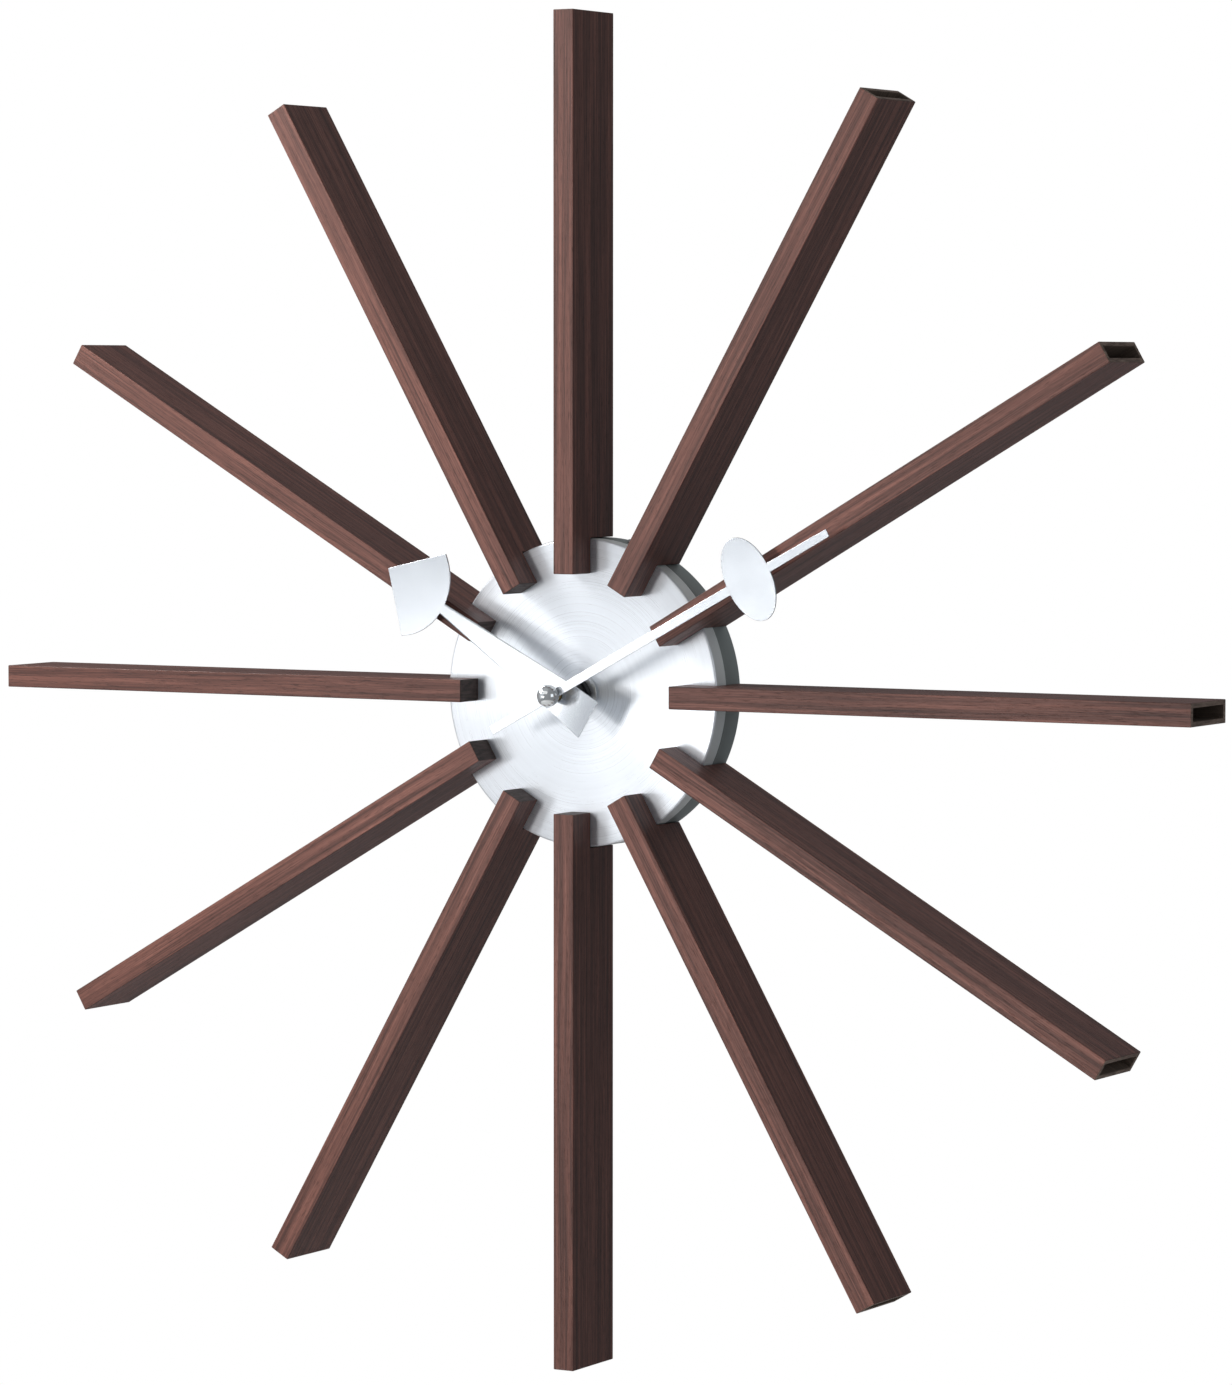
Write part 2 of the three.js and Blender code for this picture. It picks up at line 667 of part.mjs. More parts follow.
/** The hexagonal nut on the bush. */
function bushNut() {
  const low = DIAL_FRONT + WASHER_SHEET + 2 * GAP;
  const high = low + BUSH_NUT_HEIGHT;
  const geometry = new THREE.CylinderGeometry(BUSH_NUT_CORNER, BUSH_NUT_CORNER, BUSH_NUT_HEIGHT, 6);
  const hexagon = solid(geometry.rotateX(Math.PI / 2).translate(0, 0, (low + high) / 2));
  return hexagon.subtract(post(0, 0, BUSH_RADIUS + GAP, low - CUT, high + CUT, 24));
}

piece("movement_housing", movementHousing(), BLACK_PLASTIC);
piece("movement_cover", movementCover(), BLACK_PLASTIC);
const gasket = ring(BUSH_RADIUS + GAP, GASKET_RADIUS, CASE_FRONT + GAP, DIAL_FRONT - DIAL_SHEET - GAP);
piece("rubber_gasket", gasket, RUBBER);
const washerBack = DIAL_FRONT + GAP;
const washer = ring(BUSH_RADIUS + GAP, WASHER_RADIUS, washerBack, washerBack + WASHER_SHEET);
piece("dial_washer", washer, ZINC_STEEL);
piece("bush_nut", bushNut(), BLACKENED_STEEL);

// ---------------------------------------------------------------- plate and wheels

/** The middle plate: front pivots, the motion wheel's stud, and three pillars to the front wall. */
function trainPlate() {
  const [low, high] = LEVEL.trainPlate;
  const outline = polygon([
    [PLATE_LEFT + PLATE_CORNER, PLATE_BOTTOM],
    [PLATE_RIGHT - PLATE_CORNER, PLATE_BOTTOM],
    [PLATE_RIGHT, PLATE_BOTTOM + PLATE_CORNER],
    [PLATE_RIGHT, PLATE_TOP - PLATE_CORNER],
    [PLATE_RIGHT - PLATE_CORNER, PLATE_TOP],
    [PLATE_LEFT + PLATE_CORNER, PLATE_TOP],
    [PLATE_LEFT, PLATE_TOP - PLATE_CORNER],
    [PLATE_LEFT, PLATE_BOTTOM + PLATE_CORNER],
  ]);
  const holes = pivotHoles(low - CUT, high + CUT);
  const centreHole = post(0, 0, PIPE_BORE, low - CUT, high + CUT, 16);
  const middle = (low + high) / 2;
  const stud = post(motionAt.x, motionAt.y, STUD_RADIUS, middle, LEVEL.motionPinion[1] - GAP, 12);
  const pillars = PILLARS.map(([x, y]) => post(x, y, PILLAR_RADIUS, middle, frontWall - GAP, 10));
  return joined(plate(outline, low, high).subtract(joined(...holes, centreHole)), stud, ...pillars);
}

/** The minute arbor: rear pivot, collar under the clutch, cannon pinion, and a tip for the cap nut. */
function minuteArbor() {
  const [collarLow, collarHigh] = LEVEL.arborCollar;
  const shoulder = MINUTE_HAND_BACK - GAP;
  const shaft = turned(
    [
      [0, CASE_BACK + REAR_PIVOT_SHORT],
      [REAR_PIVOT_RADIUS, CASE_BACK + REAR_PIVOT_SHORT],
      [REAR_PIVOT_RADIUS, collarLow],
      [COLLAR_RADIUS, collarLow],
      [COLLAR_RADIUS, collarHigh],
      [MINUTE_ARBOR_RADIUS, collarHigh],
      [MINUTE_ARBOR_RADIUS, shoulder],
      [MINUTE_TIP_RADIUS, shoulder],
      [MINUTE_TIP_RADIUS, NUT_BACK + MINUTE_TIP_LENGTH],
      [0, NUT_BACK + MINUTE_TIP_LENGTH],
    ],
    16,
  );
  return shaft.add(gear(CANNON_TEETH, MOTION_MODULE, MOTION_DIRECTION, LEVEL.cannonPinion));
}

/** A star-shaped friction spring that presses the centre wheel forwards. */
function clutchSpring() {
  const [low, high] = LEVEL.clutch;
  const boreRadius = MINUTE_ARBOR_RADIUS + GAP;
  const arm = block(boreRadius, CLUTCH_ARM_REACH, -CLUTCH_ARM_HALF, CLUTCH_ARM_HALF, low, high);
  const bore = post(0, 0, boreRadius, low - CUT, high + CUT, 16);
  const hub = post(0, 0, CLUTCH_HUB_RADIUS, low, high, 18);
  return hub.add(aroundAxis(arm, CLUTCH_ARMS)).subtract(bore);
}

/** A wheel with round lightening holes. */
function wheel(teeth, module, phase, level, bore, holeRadius, holeCount = 4) {
  const disc = gear(teeth, module, phase, level, bore);
  const [low, high] = level;
  const outward = 0.4; // the holes sit a little past the middle of the web
  const along = (teeth * module) / 4 + bore / 2 + outward;
  return disc.subtract(aroundAxis(post(along, 0, holeRadius, low - CUT, high + CUT, 10), holeCount));
}

/** The plain arbor between the cover and the train plate. */
function plainArbor() {
  return post(0, 0, ARBOR_RADIUS, coverFront - ARBOR_BACK, LEVEL.trainPlate[1] - ARBOR_SHORT, 10);
}

/** A wheel of the train on its own arbor, with its pinion. */
function trainWheel(teeth, wheelLevel, wheelPhase, pinionLevel, pinionPhase, holeRadius) {
  return joined(
    wheel(teeth, TRAIN_MODULE, wheelPhase, wheelLevel, 0, holeRadius),
    gear(PINION_TEETH, TRAIN_MODULE, pinionPhase, pinionLevel),
    plainArbor(),
  );
}

/** The stepping motor's rotor: magnet, pinion and arbor. */
function rotor(pinionPhase) {
  const [low, high] = LEVEL.rotorMagnet;
  return joined(
    post(0, 0, MAGNET_RADIUS, low, high, 20),
    gear(PINION_TEETH, TRAIN_MODULE, pinionPhase, LEVEL.rotorPinion),
    plainArbor(),
  );
}

/** The hour wheel and the long pipe that carries the hour hand. */
function hourWheel(phase) {
  const [low, high] = LEVEL.hourWheel;
  const pipe = ring(PIPE_BORE, PIPE_RADIUS, (low + high) / 2, HOUR_HAND_BACK + HAND_SHEET + PIPE_PROUD);
  return gear(HOUR_TEETH, MOTION_MODULE, phase, LEVEL.hourWheel, PIPE_BORE).add(pipe);
}

/** The motion wheel with its pinion, loose on the train plate's stud. */
function motionWheel(wheelPhase, pinionPhase) {
  const { motion } = LIGHTENING;
  const disc = wheel(MOTION_TEETH, MOTION_MODULE, wheelPhase, LEVEL.motionWheel, MOTION_BORE, motion);
  return disc.add(gear(MOTION_PINION_TEETH, MOTION_MODULE, pinionPhase, LEVEL.motionPinion, MOTION_BORE));
}

/** The setting knob at the back: notched disc, shaft, and a pinion in mesh with the motion wheel. */
function settingKnob(phase) {
  const knobFront = CASE_BACK - GAP;
  const notchAt = KNOB_RADIUS + KNOB_NOTCH_RADIUS / 2;
  const notch = post(notchAt, 0, KNOB_NOTCH_RADIUS, KNOB_BACK - CUT, knobFront + CUT, 8);
  const disc = post(0, 0, KNOB_RADIUS, KNOB_BACK, knobFront, 24).subtract(aroundAxis(notch, KNOB_NOTCHES));
  return joined(
    disc,
    post(0, 0, KNOB_SHAFT_RADIUS, knobFront - CUT, frontWall - GAP, 12),
    gear(KNOB_TEETH, MOTION_MODULE, phase, LEVEL.cannonPinion),
  );
}

const motionPhase = phaseInMesh(MOTION_TEETH, CANNON_TEETH, MOTION_DIRECTION, MOTION_DIRECTION);
const towardsCentre = MOTION_DIRECTION + 180;
const hourPhase = phaseInMesh(HOUR_TEETH, MOTION_PINION_TEETH, towardsCentre, towardsCentre);
const knobPhase = phaseInMesh(KNOB_TEETH, MOTION_TEETH, motionPhase, KNOB_DIRECTION);

/** Moves a mesh to a point of the bench plane. */
function at(mesh, point) {
  mesh.position.set(point.x, point.y, 0);
}

const centreWheel = wheel(
  CENTRE_TEETH,
  TRAIN_MODULE,
  THIRD_DIRECTION,
  LEVEL.centreWheel,
  PIPE_BORE,
  LIGHTENING.centre,
  CENTRE_HOLES,
);
const thirdPinionPhase = phaseInMesh(PINION_TEETH, CENTRE_TEETH, THIRD_DIRECTION, THIRD_DIRECTION);
const thirdWheel = trainWheel(
  THIRD_TEETH,
  LEVEL.thirdWheel,
  SECONDS_DIRECTION,
  LEVEL.thirdPinion,
  thirdPinionPhase,
  LIGHTENING.third,
);
const secondsPinionPhase = phaseInMesh(PINION_TEETH, THIRD_TEETH, SECONDS_DIRECTION, SECONDS_DIRECTION);
const secondsWheel = trainWheel(
  SECONDS_TEETH,
  LEVEL.secondsWheel,
  INTERMEDIATE_DIRECTION,
  LEVEL.secondsPinion,
  secondsPinionPhase,
  LIGHTENING.seconds,
);
const intermediatePinionPhase = phaseInMesh(
  PINION_TEETH,
  SECONDS_TEETH,
  INTERMEDIATE_DIRECTION,
  INTERMEDIATE_DIRECTION,
);
const intermediateWheel = trainWheel(
  INTERMEDIATE_TEETH,
  LEVEL.intermediateWheel,
  ROTOR_DIRECTION,
  LEVEL.intermediatePinion,
  intermediatePinionPhase,
  LIGHTENING.intermediate,
);
const rotorPhase = phaseInMesh(PINION_TEETH, INTERMEDIATE_TEETH, ROTOR_DIRECTION, ROTOR_DIRECTION);

piece("train_plate", trainPlate(), BRASS);
piece("minute_arbor", minuteArbor(), ZINC_STEEL);
piece("clutch_spring", clutchSpring(), BRASS);
piece("centre_wheel", centreWheel, BRASS);
at(piece("third_wheel", thirdWheel, IVORY_PLASTIC), thirdAt);
at(piece("seconds_wheel", secondsWheel, IVORY_PLASTIC), secondsAt);
at(piece("intermediate_wheel", intermediateWheel, IVORY_PLASTIC), intermediateAt);
at(piece("rotor", rotor(rotorPhase), ZINC_STEEL), rotorAt);
piece("hour_wheel", hourWheel(hourPhase), BRASS);
at(piece("motion_wheel", motionWheel(motionPhase, towardsCentre), IVORY_PLASTIC), motionAt);
at(piece("setting_knob", settingKnob(knobPhase), BLACK_PLASTIC), knobAt);

// ---------------------------------------------------------------- motor and electronics

/** A soft-iron plate with the rotor's hole and two arms that reach the coil's core. */
function stator() {
  const [low, high] = LEVEL.stator;
  const left = CORE_X - STATOR_OVERHANG;
  const [lowArm, highArm] = CLAMP_ENDS.map((y) => y - STATOR_ARM / 2);
  const sideRight = STATOR_SIDE_LEFT + STATOR_ARM;
  return joined(
    post(rotorAt.x, rotorAt.y, STATOR_RING_OUTER, low, high, 24),
    block(left, rotorAt.x, lowArm, lowArm + STATOR_ARM, low, high),
    block(STATOR_SIDE_LEFT, sideRight, rotorAt.y, highArm + STATOR_ARM, low, high),
    block(left, sideRight, highArm, highArm + STATOR_ARM, low, high),
  ).subtract(post(rotorAt.x, rotorAt.y, STATOR_RING_INNER, low - CUT, high + CUT, 24));
}

/** The winding between two flanges, with a slot for the core. */
function coil() {
  const [low, high] = LEVEL.coilCore;
  const height = (low + high) / 2;
  const winding = turned(
    [
      [0, COIL_LOW],
      [COIL_FLANGE_RADIUS, COIL_LOW],
      [COIL_FLANGE_RADIUS, COIL_LOW + COIL_FLANGE],
      [COIL_RADIUS, COIL_LOW + COIL_FLANGE],
      [COIL_RADIUS, COIL_HIGH - COIL_FLANGE],
      [COIL_FLANGE_RADIUS, COIL_HIGH - COIL_FLANGE],
      [COIL_FLANGE_RADIUS, COIL_HIGH],
      [0, COIL_HIGH],
    ],
    20,
  );
  const reach = CORE_HALF + GAP;
  const slot = block(-reach, reach, COIL_LOW - CUT, COIL_HIGH + CUT, low - GAP, high + GAP);
  return radial(winding, height).subtract(slot).translate([CORE_X, 0, 0]);
}

/** The leaf that presses on the cell's flat end. */
function negativeContact() {
  const wall = inside - GAP;
  const face = wall - LEAF_SHEET;
  const bulge = CELL_RIGHT + GAP;
  const outline = polygon([
    [wall, -LEAF_REACH],
    [wall, LEAF_REACH],
    [face, LEAF_REACH],
    [face, LEAF_RIM],
    [bulge, LEAF_POINT],
    [bulge, -LEAF_POINT],
    [face, -LEAF_RIM],
    [face, -LEAF_REACH],
  ]);
  const leaf = plate(outline, CELL_Z - LEAF_HALF_WIDTH, CELL_Z + LEAF_HALF_WIDTH);
  return leaf.translate([0, CELL_Y, 0]);
}

/** The plate that the cell's positive end meets. */
function positiveContact() {
  const left = -inside + GAP;
  const [low, high] = [CELL_Z - CONTACT_HALF, CELL_Z + CONTACT_HALF];
  return block(left, left + CONTACT_SHEET, CELL_Y - CONTACT_HALF, CELL_Y + CONTACT_HALF, low, high);
}

/** An AA cell lying along x, its positive end to the left. */
function battery() {
  const round = 0.6;
  const body = turned(
    [
      [0, CELL_LEFT - CELL_NUB],
      [CELL_NUB_RADIUS, CELL_LEFT - CELL_NUB],
      [CELL_NUB_RADIUS, CELL_LEFT],
      [CELL_RADIUS - round, CELL_LEFT],
      [CELL_RADIUS, CELL_LEFT + round],
      [CELL_RADIUS, CELL_RIGHT - round],
      [CELL_RADIUS - round, CELL_RIGHT],
      [0, CELL_RIGHT],
    ],
    24,
  );
  return body.rotate([0, 90, 0]).translate([0, CELL_Y, CELL_Z]);
}

const [boardBack, boardFront] = LEVEL.board;

/** The quartz crystal's can, standing along y under the board. */
function crystal() {
  const { x, y, radius, length } = CRYSTAL;
  const can = new THREE.CylinderGeometry(radius, radius, length, 14);
  return solid(can.translate(x, y, boardBack - GAP - radius));
}

/** The drop of resin over the chip. */
function chip() {
  const { x, y, radius, height } = CHIP;
  const seat = boardBack - GAP;
  const drop = turned(
    [
      [0, seat - height],
      [radius * 0.6, seat - height * 0.8],
      [radius, seat],
      [0, seat],
    ],
    16,
  );
  return drop.translate([x, y, 0]);
}

const boardReach = inside - GAP;
const board = block(BOARD_LEFT, boardReach, BOARD_LOW, boardReach, boardBack, boardFront);
const core = block(CORE_X - CORE_HALF, CORE_X + CORE_HALF, CORE_LOW, CORE_HIGH, ...LEVEL.coilCore);

piece("stator", stator(), ZINC_STEEL);
piece("coil", coil(), COPPER);
piece("coil_core", core, ZINC_STEEL);
piece("circuit_board", board, BOARD_GREEN);
piece("crystal", crystal(), CHROME);
piece("chip", chip(), BLACK_PLASTIC);
piece("contact_positive", positiveContact(), ZINC_STEEL);
piece("contact_negative", negativeContact(), ZINC_STEEL);
piece("battery", battery(), CELL_JACKET);

// ---------------------------------------------------------------- hands

/** The minute hand pointing to twelve: a thin bar, an oval paddle, and a round boss under the nut. */
function minuteHand() {
  const low = MINUTE_HAND_BACK;
  const high = low + HAND_SHEET;
  const bar = polygon([
    [-MINUTE_TAIL_HALF, -MINUTE_TAIL],
    [MINUTE_TAIL_HALF, -MINUTE_TAIL],
    [MINUTE_TIP_HALF, MINUTE_TIP],
    [-MINUTE_TIP_HALF, MINUTE_TIP],
  ]);
  const oval = new THREE.Shape();
  oval.absellipse(0, MINUTE_OVAL_Y, MINUTE_OVAL_ACROSS, MINUTE_OVAL_ALONG, 0, 2 * Math.PI, false, 0);
  const hole = post(0, 0, MINUTE_TIP_RADIUS + GAP, low - CUT, high + CUT, 16);
  return joined(
    plate(bar, low, high),
    plate(oval, low, high, 36),
    post(0, 0, MINUTE_BOSS_RADIUS, low, high, 24),
  ).subtract(hole);
}

/** The hour hand pointing to twelve: a long wedge with a bent tail, an arrow-shaped paddle, and a collet. */
function hourHand() {
  const low = HOUR_HAND_BACK;
  const high = low + HAND_SHEET;
  const lift = (HOUR_TAIL - HOUR_BEND_AT) * Math.tan(radians(HOUR_BEND));
  const wedge = polygon([
    [-HOUR_TAIL_HALF, -HOUR_TAIL],
    [HOUR_TAIL_HALF, -HOUR_TAIL],
    [HOUR_NECK_HALF, HOUR_NECK_Y],
    [-HOUR_NECK_HALF, HOUR_NECK_Y],
  ]);
  const bent = polygon([
    [HOUR_NECK_Y, low],
    [HOUR_NECK_Y, high],
    [-HOUR_BEND_AT, high],
    [-HOUR_TAIL, high + lift],
    [-HOUR_TAIL, low + lift],
    [-HOUR_BEND_AT, low],
  ]);
  const bar = plate(wedge, low - CUT, high + lift + CUT).intersect(crosswise(bent, 2 * HOUR_TAIL_HALF + CUT));
  // a right-angled point: its straight sides meet the bow where x = HOUR_TIP - y
  const rise = HOUR_TIP - HOUR_BOW_CENTRE;
  const across = rise / 2 + Math.sqrt(HOUR_BOW_RADIUS ** 2 - rise ** 2 / 2) / Math.SQRT2;
  const cornerAngle = Math.atan2(HOUR_TIP - across - HOUR_BOW_CENTRE, across);
  const paddle = new THREE.Shape();
  paddle.moveTo(0, HOUR_TIP);
  paddle.lineTo(-across, HOUR_TIP - across);
  paddle.absarc(0, HOUR_BOW_CENTRE, HOUR_BOW_RADIUS, Math.PI - cornerAngle, 2 * Math.PI + cornerAngle, false);
  const collet = ring(PIPE_RADIUS + GAP, HOUR_COLLET_RADIUS, HOUR_COLLET_BACK, (low + high) / 2);
  const hole = post(0, 0, PIPE_RADIUS + GAP, low - CUT, high + CUT, 24);
  return bar.add(plate(paddle, low, high, 20)).subtract(hole).add(collet);
}

/** The ball-shaped nut, cut flat at the back, with a blind threaded hole. */
function capNut() {
  const flat = Math.sqrt(NUT_RADIUS ** 2 - (NUT_BALL_CENTRE - NUT_BACK) ** 2);
  const start = Math.atan2(NUT_BACK - NUT_BALL_CENTRE, flat);
  const steps = 6;
  const profile = [
    [0, NUT_BACK + NUT_HOLE_DEPTH],
    [MINUTE_TIP_RADIUS + GAP, NUT_BACK + NUT_HOLE_DEPTH],
    [MINUTE_TIP_RADIUS + GAP, NUT_BACK],
  ];
  for (let i = 0; i <= steps; i++) {
    const angle = start + ((Math.PI / 2 - start) * i) / steps;
    const radius = i === steps ? 0 : NUT_RADIUS * Math.cos(angle);
    profile.push([radius, NUT_BALL_CENTRE + NUT_RADIUS * Math.sin(angle)]);
  }
  return turned(profile, 20);
}

piece("hour_hand", hourHand(), SATIN_ALUMINIUM).rotation.z = radians(clockwise(HOUR_ANGLE));
piece("minute_hand", minuteHand(), SATIN_ALUMINIUM).rotation.z = radians(clockwise(MINUTE_ANGLE));
piece("cap_nut", capNut(), CHROME);

// ---------------------------------------------------------------- stand the clock up against the wall

clock.rotation.x = Math.PI / 2;

export default clock;
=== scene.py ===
import json
import math

import bmesh
import bpy
from mathutils import Matrix, Vector

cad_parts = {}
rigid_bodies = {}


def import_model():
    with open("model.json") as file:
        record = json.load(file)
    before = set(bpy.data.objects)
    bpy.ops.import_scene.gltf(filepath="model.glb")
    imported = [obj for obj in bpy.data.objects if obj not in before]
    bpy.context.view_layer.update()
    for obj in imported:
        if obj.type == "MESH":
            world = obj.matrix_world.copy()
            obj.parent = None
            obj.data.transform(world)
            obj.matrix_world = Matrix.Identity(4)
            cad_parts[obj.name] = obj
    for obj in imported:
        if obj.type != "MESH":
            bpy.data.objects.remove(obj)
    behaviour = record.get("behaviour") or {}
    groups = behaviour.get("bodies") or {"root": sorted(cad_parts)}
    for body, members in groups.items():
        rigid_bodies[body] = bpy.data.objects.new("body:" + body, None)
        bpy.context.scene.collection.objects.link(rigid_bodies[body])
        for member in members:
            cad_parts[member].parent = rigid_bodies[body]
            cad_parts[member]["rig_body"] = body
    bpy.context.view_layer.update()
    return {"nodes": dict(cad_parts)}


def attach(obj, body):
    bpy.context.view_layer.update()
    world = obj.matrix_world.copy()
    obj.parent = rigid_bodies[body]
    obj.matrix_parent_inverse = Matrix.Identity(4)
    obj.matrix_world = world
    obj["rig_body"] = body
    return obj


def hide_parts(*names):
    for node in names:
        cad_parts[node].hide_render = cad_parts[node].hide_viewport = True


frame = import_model()

# ------------------------------------------------------------------ dimensions in mm and degrees, as in CAD

MM = 0.001

RAY_COUNT = 12
RAY_WIDTH = 10.2
RAY_WALL = 2.2
RAY_NOSE = 53.8
RAY_UNDER = 22.6  # underside of the nose, just clear of the dial
RAY_ROOT = 69.8
RAY_BACK = 2.0
RAY_FRONT = 38.4
RAY_END = 305.0
RAY_FLOOR = 94.8  # where the solid root ends and the hollow starts

DIAL_RADIUS = 69.5  # the drum's as well
DIAL_FRONT = 22.3
DIAL_SHEET = 1.0
BUSH_HOLE = 4.3  # bore of what goes over the movement's bush
SCREW_HEIGHT = 17.3
RIVET_HEIGHT = 6.5
RIVET_ANGLE = 15

HOUR_ANGLE = 301.9
MINUTE_ANGLE = 61.7
HAND_SHEET = 0.8
HOUR_BACK = 43.3
MINUTE_BACK = 48.8
TAIL_BEND_AT = 6.0  # distance from the axis
TAIL_BEND = 7.0
CELL_UP = -19.15  # the battery's axis, up from the dial's
CELL_HEIGHT = 11.1  # and its height above the wall


# ------------------------------------------------------------------ camera and light

VIEW_AZIMUTH = 30
VIEW_ELEVATION = 3.3
VIEW_DISTANCE = 2.48  # metres
TARGET = Vector((0, -(RAY_BACK + RAY_FRONT) / 2 * MM, 0))


def direction(azimuth, elevation):
    """Unit vector from the clock, azimuth to the right as seen from the front."""
    a, e = math.radians(azimuth), math.radians(elevation)
    return Vector((math.sin(a) * math.cos(e), -math.cos(a) * math.cos(e), math.sin(e)))


def aim(thing, place):
    """Puts a camera or lamp at a place, facing the clock."""
    thing.location = place
    thing.rotation_euler = (TARGET - place).to_track_quat("-Z", "Y").to_euler()


def add_object(name, data):
    thing = bpy.data.objects.new(name, data)
    bpy.context.scene.collection.objects.link(thing)
    return thing


camera_data = bpy.data.cameras.new("camera")
camera_data.lens = 143.2
camera_data.sensor_width = 36
camera_data.shift_x = 0.0235
camera_data.clip_end = 20
camera = add_object("camera", camera_data)
aim(camera, TARGET + VIEW_DISTANCE * direction(VIEW_AZIMUTH, VIEW_ELEVATION))
bpy.context.scene.camera = camera


def soft_box(name, azimuth, elevation, distance, size, watts, colour=(1, 1, 1)):
    """A rectangular studio light that faces the clock, its distance and size in metres."""
    lamp = bpy.data.lights.new(name, "AREA")
    lamp.shape = "RECTANGLE"
    lamp.size, lamp.size_y = size
    lamp.energy = watts
    lamp.color = colour
    thing = add_object(name, lamp)
    aim(thing, TARGET + distance * direction(azimuth, elevation))
    return thing


SKY = (0.88, 0.94, 1.0)  # the cool colour of the fill light

# the key is one lamp for matt surfaces and two weaker ones for reflections
soft_box("key", -12.5, 1, 2.2, (0.25, 0.25), 27.5, (1.0, 0.985, 0.97)).visible_glossy = False
soft_box("dial_gleam", -16, -7, 2.2, (0.35, 0.35), 5.4).visible_diffuse = False
soft_box("hand_gleam", -31.5, -3.9, 1.0, (0.26, 0.09), 0.25).visible_diffuse = False
soft_box("card", -5, 38, 2.0, (1.8, 1.1), 4).visible_diffuse = False
soft_box("panel", -38, 4, 2.6, (2.2, 2.4), 6, SKY)
soft_box("overhead", -20, 66, 1.9, (1.6, 1.2), 0.8, SKY)
soft_box("upper_left", -62, 34, 1.0, (0.4, 0.4), 7.5)
soft_box("right", 75, 8, 1.6, (0.8, 0.8), 2, SKY)
soft_box("behind", 180, 40, 2.4, (1.6, 1.6), 16).visible_glossy = False

world = bpy.data.worlds.new("studio")
bpy.context.scene.world = world
world.use_nodes = True
tree = world.node_tree
tree.nodes.clear()
ambient = tree.nodes.new("ShaderNodeBackground")
ambient.inputs["Color"].default_value = (*SKY, 1)
ambient.inputs["Strength"].default_value = 0.2
paper = tree.nodes.new("ShaderNodeBackground")
paper.inputs["Color"].default_value = (1, 1, 1, 1)
paths = tree.nodes.new("ShaderNodeLightPath")
choose = tree.nodes.new("ShaderNodeMixShader")
output = tree.nodes.new("ShaderNodeOutputWorld")
tree.links.new(paths.outputs["Is Camera Ray"], choose.inputs[0])
tree.links.new(ambient.outputs[0], choose.inputs[1])
tree.links.new(paper.outputs[0], choose.inputs[2])
tree.links.new(choose.outputs[0], output.inputs["Surface"])
bpy.context.scene.view_settings.view_transform = "Standard"


# ------------------------------------------------------------------ shader building

class Shader:
    """A material whose sockets are fed by name. A value is a number, a colour or another node's output."""

    def __init__(self, name, **sockets):
        self.material = bpy.data.materials.new(name)
        self.material.use_nodes = True
        self.tree = self.material.node_tree
        self.bsdf = self.tree.nodes["Principled BSDF"]
        for socket, value in sockets.items():
            self.feed(self.bsdf.inputs[socket.replace("_", " ")], value)

    def feed(self, socket, value):
        if isinstance(value, bpy.types.NodeSocket):
            self.tree.links.new(value, socket)
            return
        if socket.type == "RGBA":
            value = (*value[:3], 1)
        socket.default_value = value

    def set(self, socket, value):
        self.feed(self.bsdf.inputs[socket], value)

    def add(self, kind, inputs, result=0, **settings):
        node = self.tree.nodes.new("ShaderNode" + kind)
        for key, value in settings.items():
            setattr(node, key, value)
        for key, value in inputs.items():
            self.feed(node.inputs[key], value)
        return node.outputs[result]

    def place(self):
        """Position in the piece's own frame, in metres."""
        return self.add("TexCoord", {}, "Object")

    def math(self, operation, a, b=0.0):
        node = self.tree.nodes.new("ShaderNodeMath")
        node.operation = operation
        for socket, value in zip(node.inputs, (a, b)):
            self.feed(socket, value)
        return node.outputs[0]

    def vector(self, operation, a, b):
        node = self.tree.nodes.new("ShaderNodeVectorMath")
        node.operation = operation
        self.feed(node.inputs[0], a)
        self.feed(node.inputs[1], b)
        return node.outputs["Value" if operation in ("LENGTH", "DOT_PRODUCT") else "Vector"]

    def split(self, vector):
        node = self.tree.nodes.new("ShaderNodeSeparateXYZ")
        self.feed(node.inputs[0], vector)
        return node.outputs

    def noise(self, vector, scale, detail=3.0, roughness=0.5, distortion=0.0):
        inputs = {"Scale": scale, "Detail": detail, "Roughness": roughness, "Distortion": distortion}
        return self.add("TexNoise", {"Vector": vector, **inputs}, "Fac")

    def stretched(self, vector, across, along, offset):
        """Noise coordinates with one scale across the piece and another along its z."""
        return self.vector("ADD", self.vector("MULTIPLY", vector, (across, across, along)), offset)

    def ramp(self, factor, *stops):
        node = self.tree.nodes.new("ShaderNodeValToRGB")
        elements = node.color_ramp.elements
        while len(elements) < len(stops):
            elements.new(0.5)
        for element, (position, colour) in zip(elements, stops):
            element.position = position
            element.color = (*colour, 1) if isinstance(colour, tuple) else (colour, colour, colour, 1)
        self.feed(node.inputs["Fac"], factor)
        return node.outputs["Color"]

    def remap(self, value, low, high, new_low, new_high):
        inputs = {"From Min": low, "From Max": high, "To Min": new_low, "To Max": new_high}
        return self.add("MapRange", {"Value": value, **inputs}, "Result")

    def mix(self, factor, a, b, blend="MIX"):
        node = self.tree.nodes.new("ShaderNodeMix")
        node.data_type = "RGBA"
        node.blend_type = blend
        self.feed(node.inputs["Factor"], factor)
        self.feed(node.inputs[6], a)
        self.feed(node.inputs[7], b)
        return node.outputs[2]

    def edges(self, radius):
        """1 on edges, falling to 0 at about radius metres from them."""
        rounded = self.add("Bevel", {"Radius": radius}, samples=4)
        flat = self.add("NewGeometry", {}, "Normal")
        agreement = self.vector("DOT_PRODUCT", rounded, flat)
        return self.remap(agreement, 0.995, 0.8, 0.0, 1.0)

    def bump(self, height, distance, strength):
        return self.add("Bump", {"Height": height, "Distance": distance, "Strength": strength}, "Normal")


def scaled(colour, factor):
    """A colour made lighter or darker."""
    return tuple(min(1, c * factor) for c in colour)


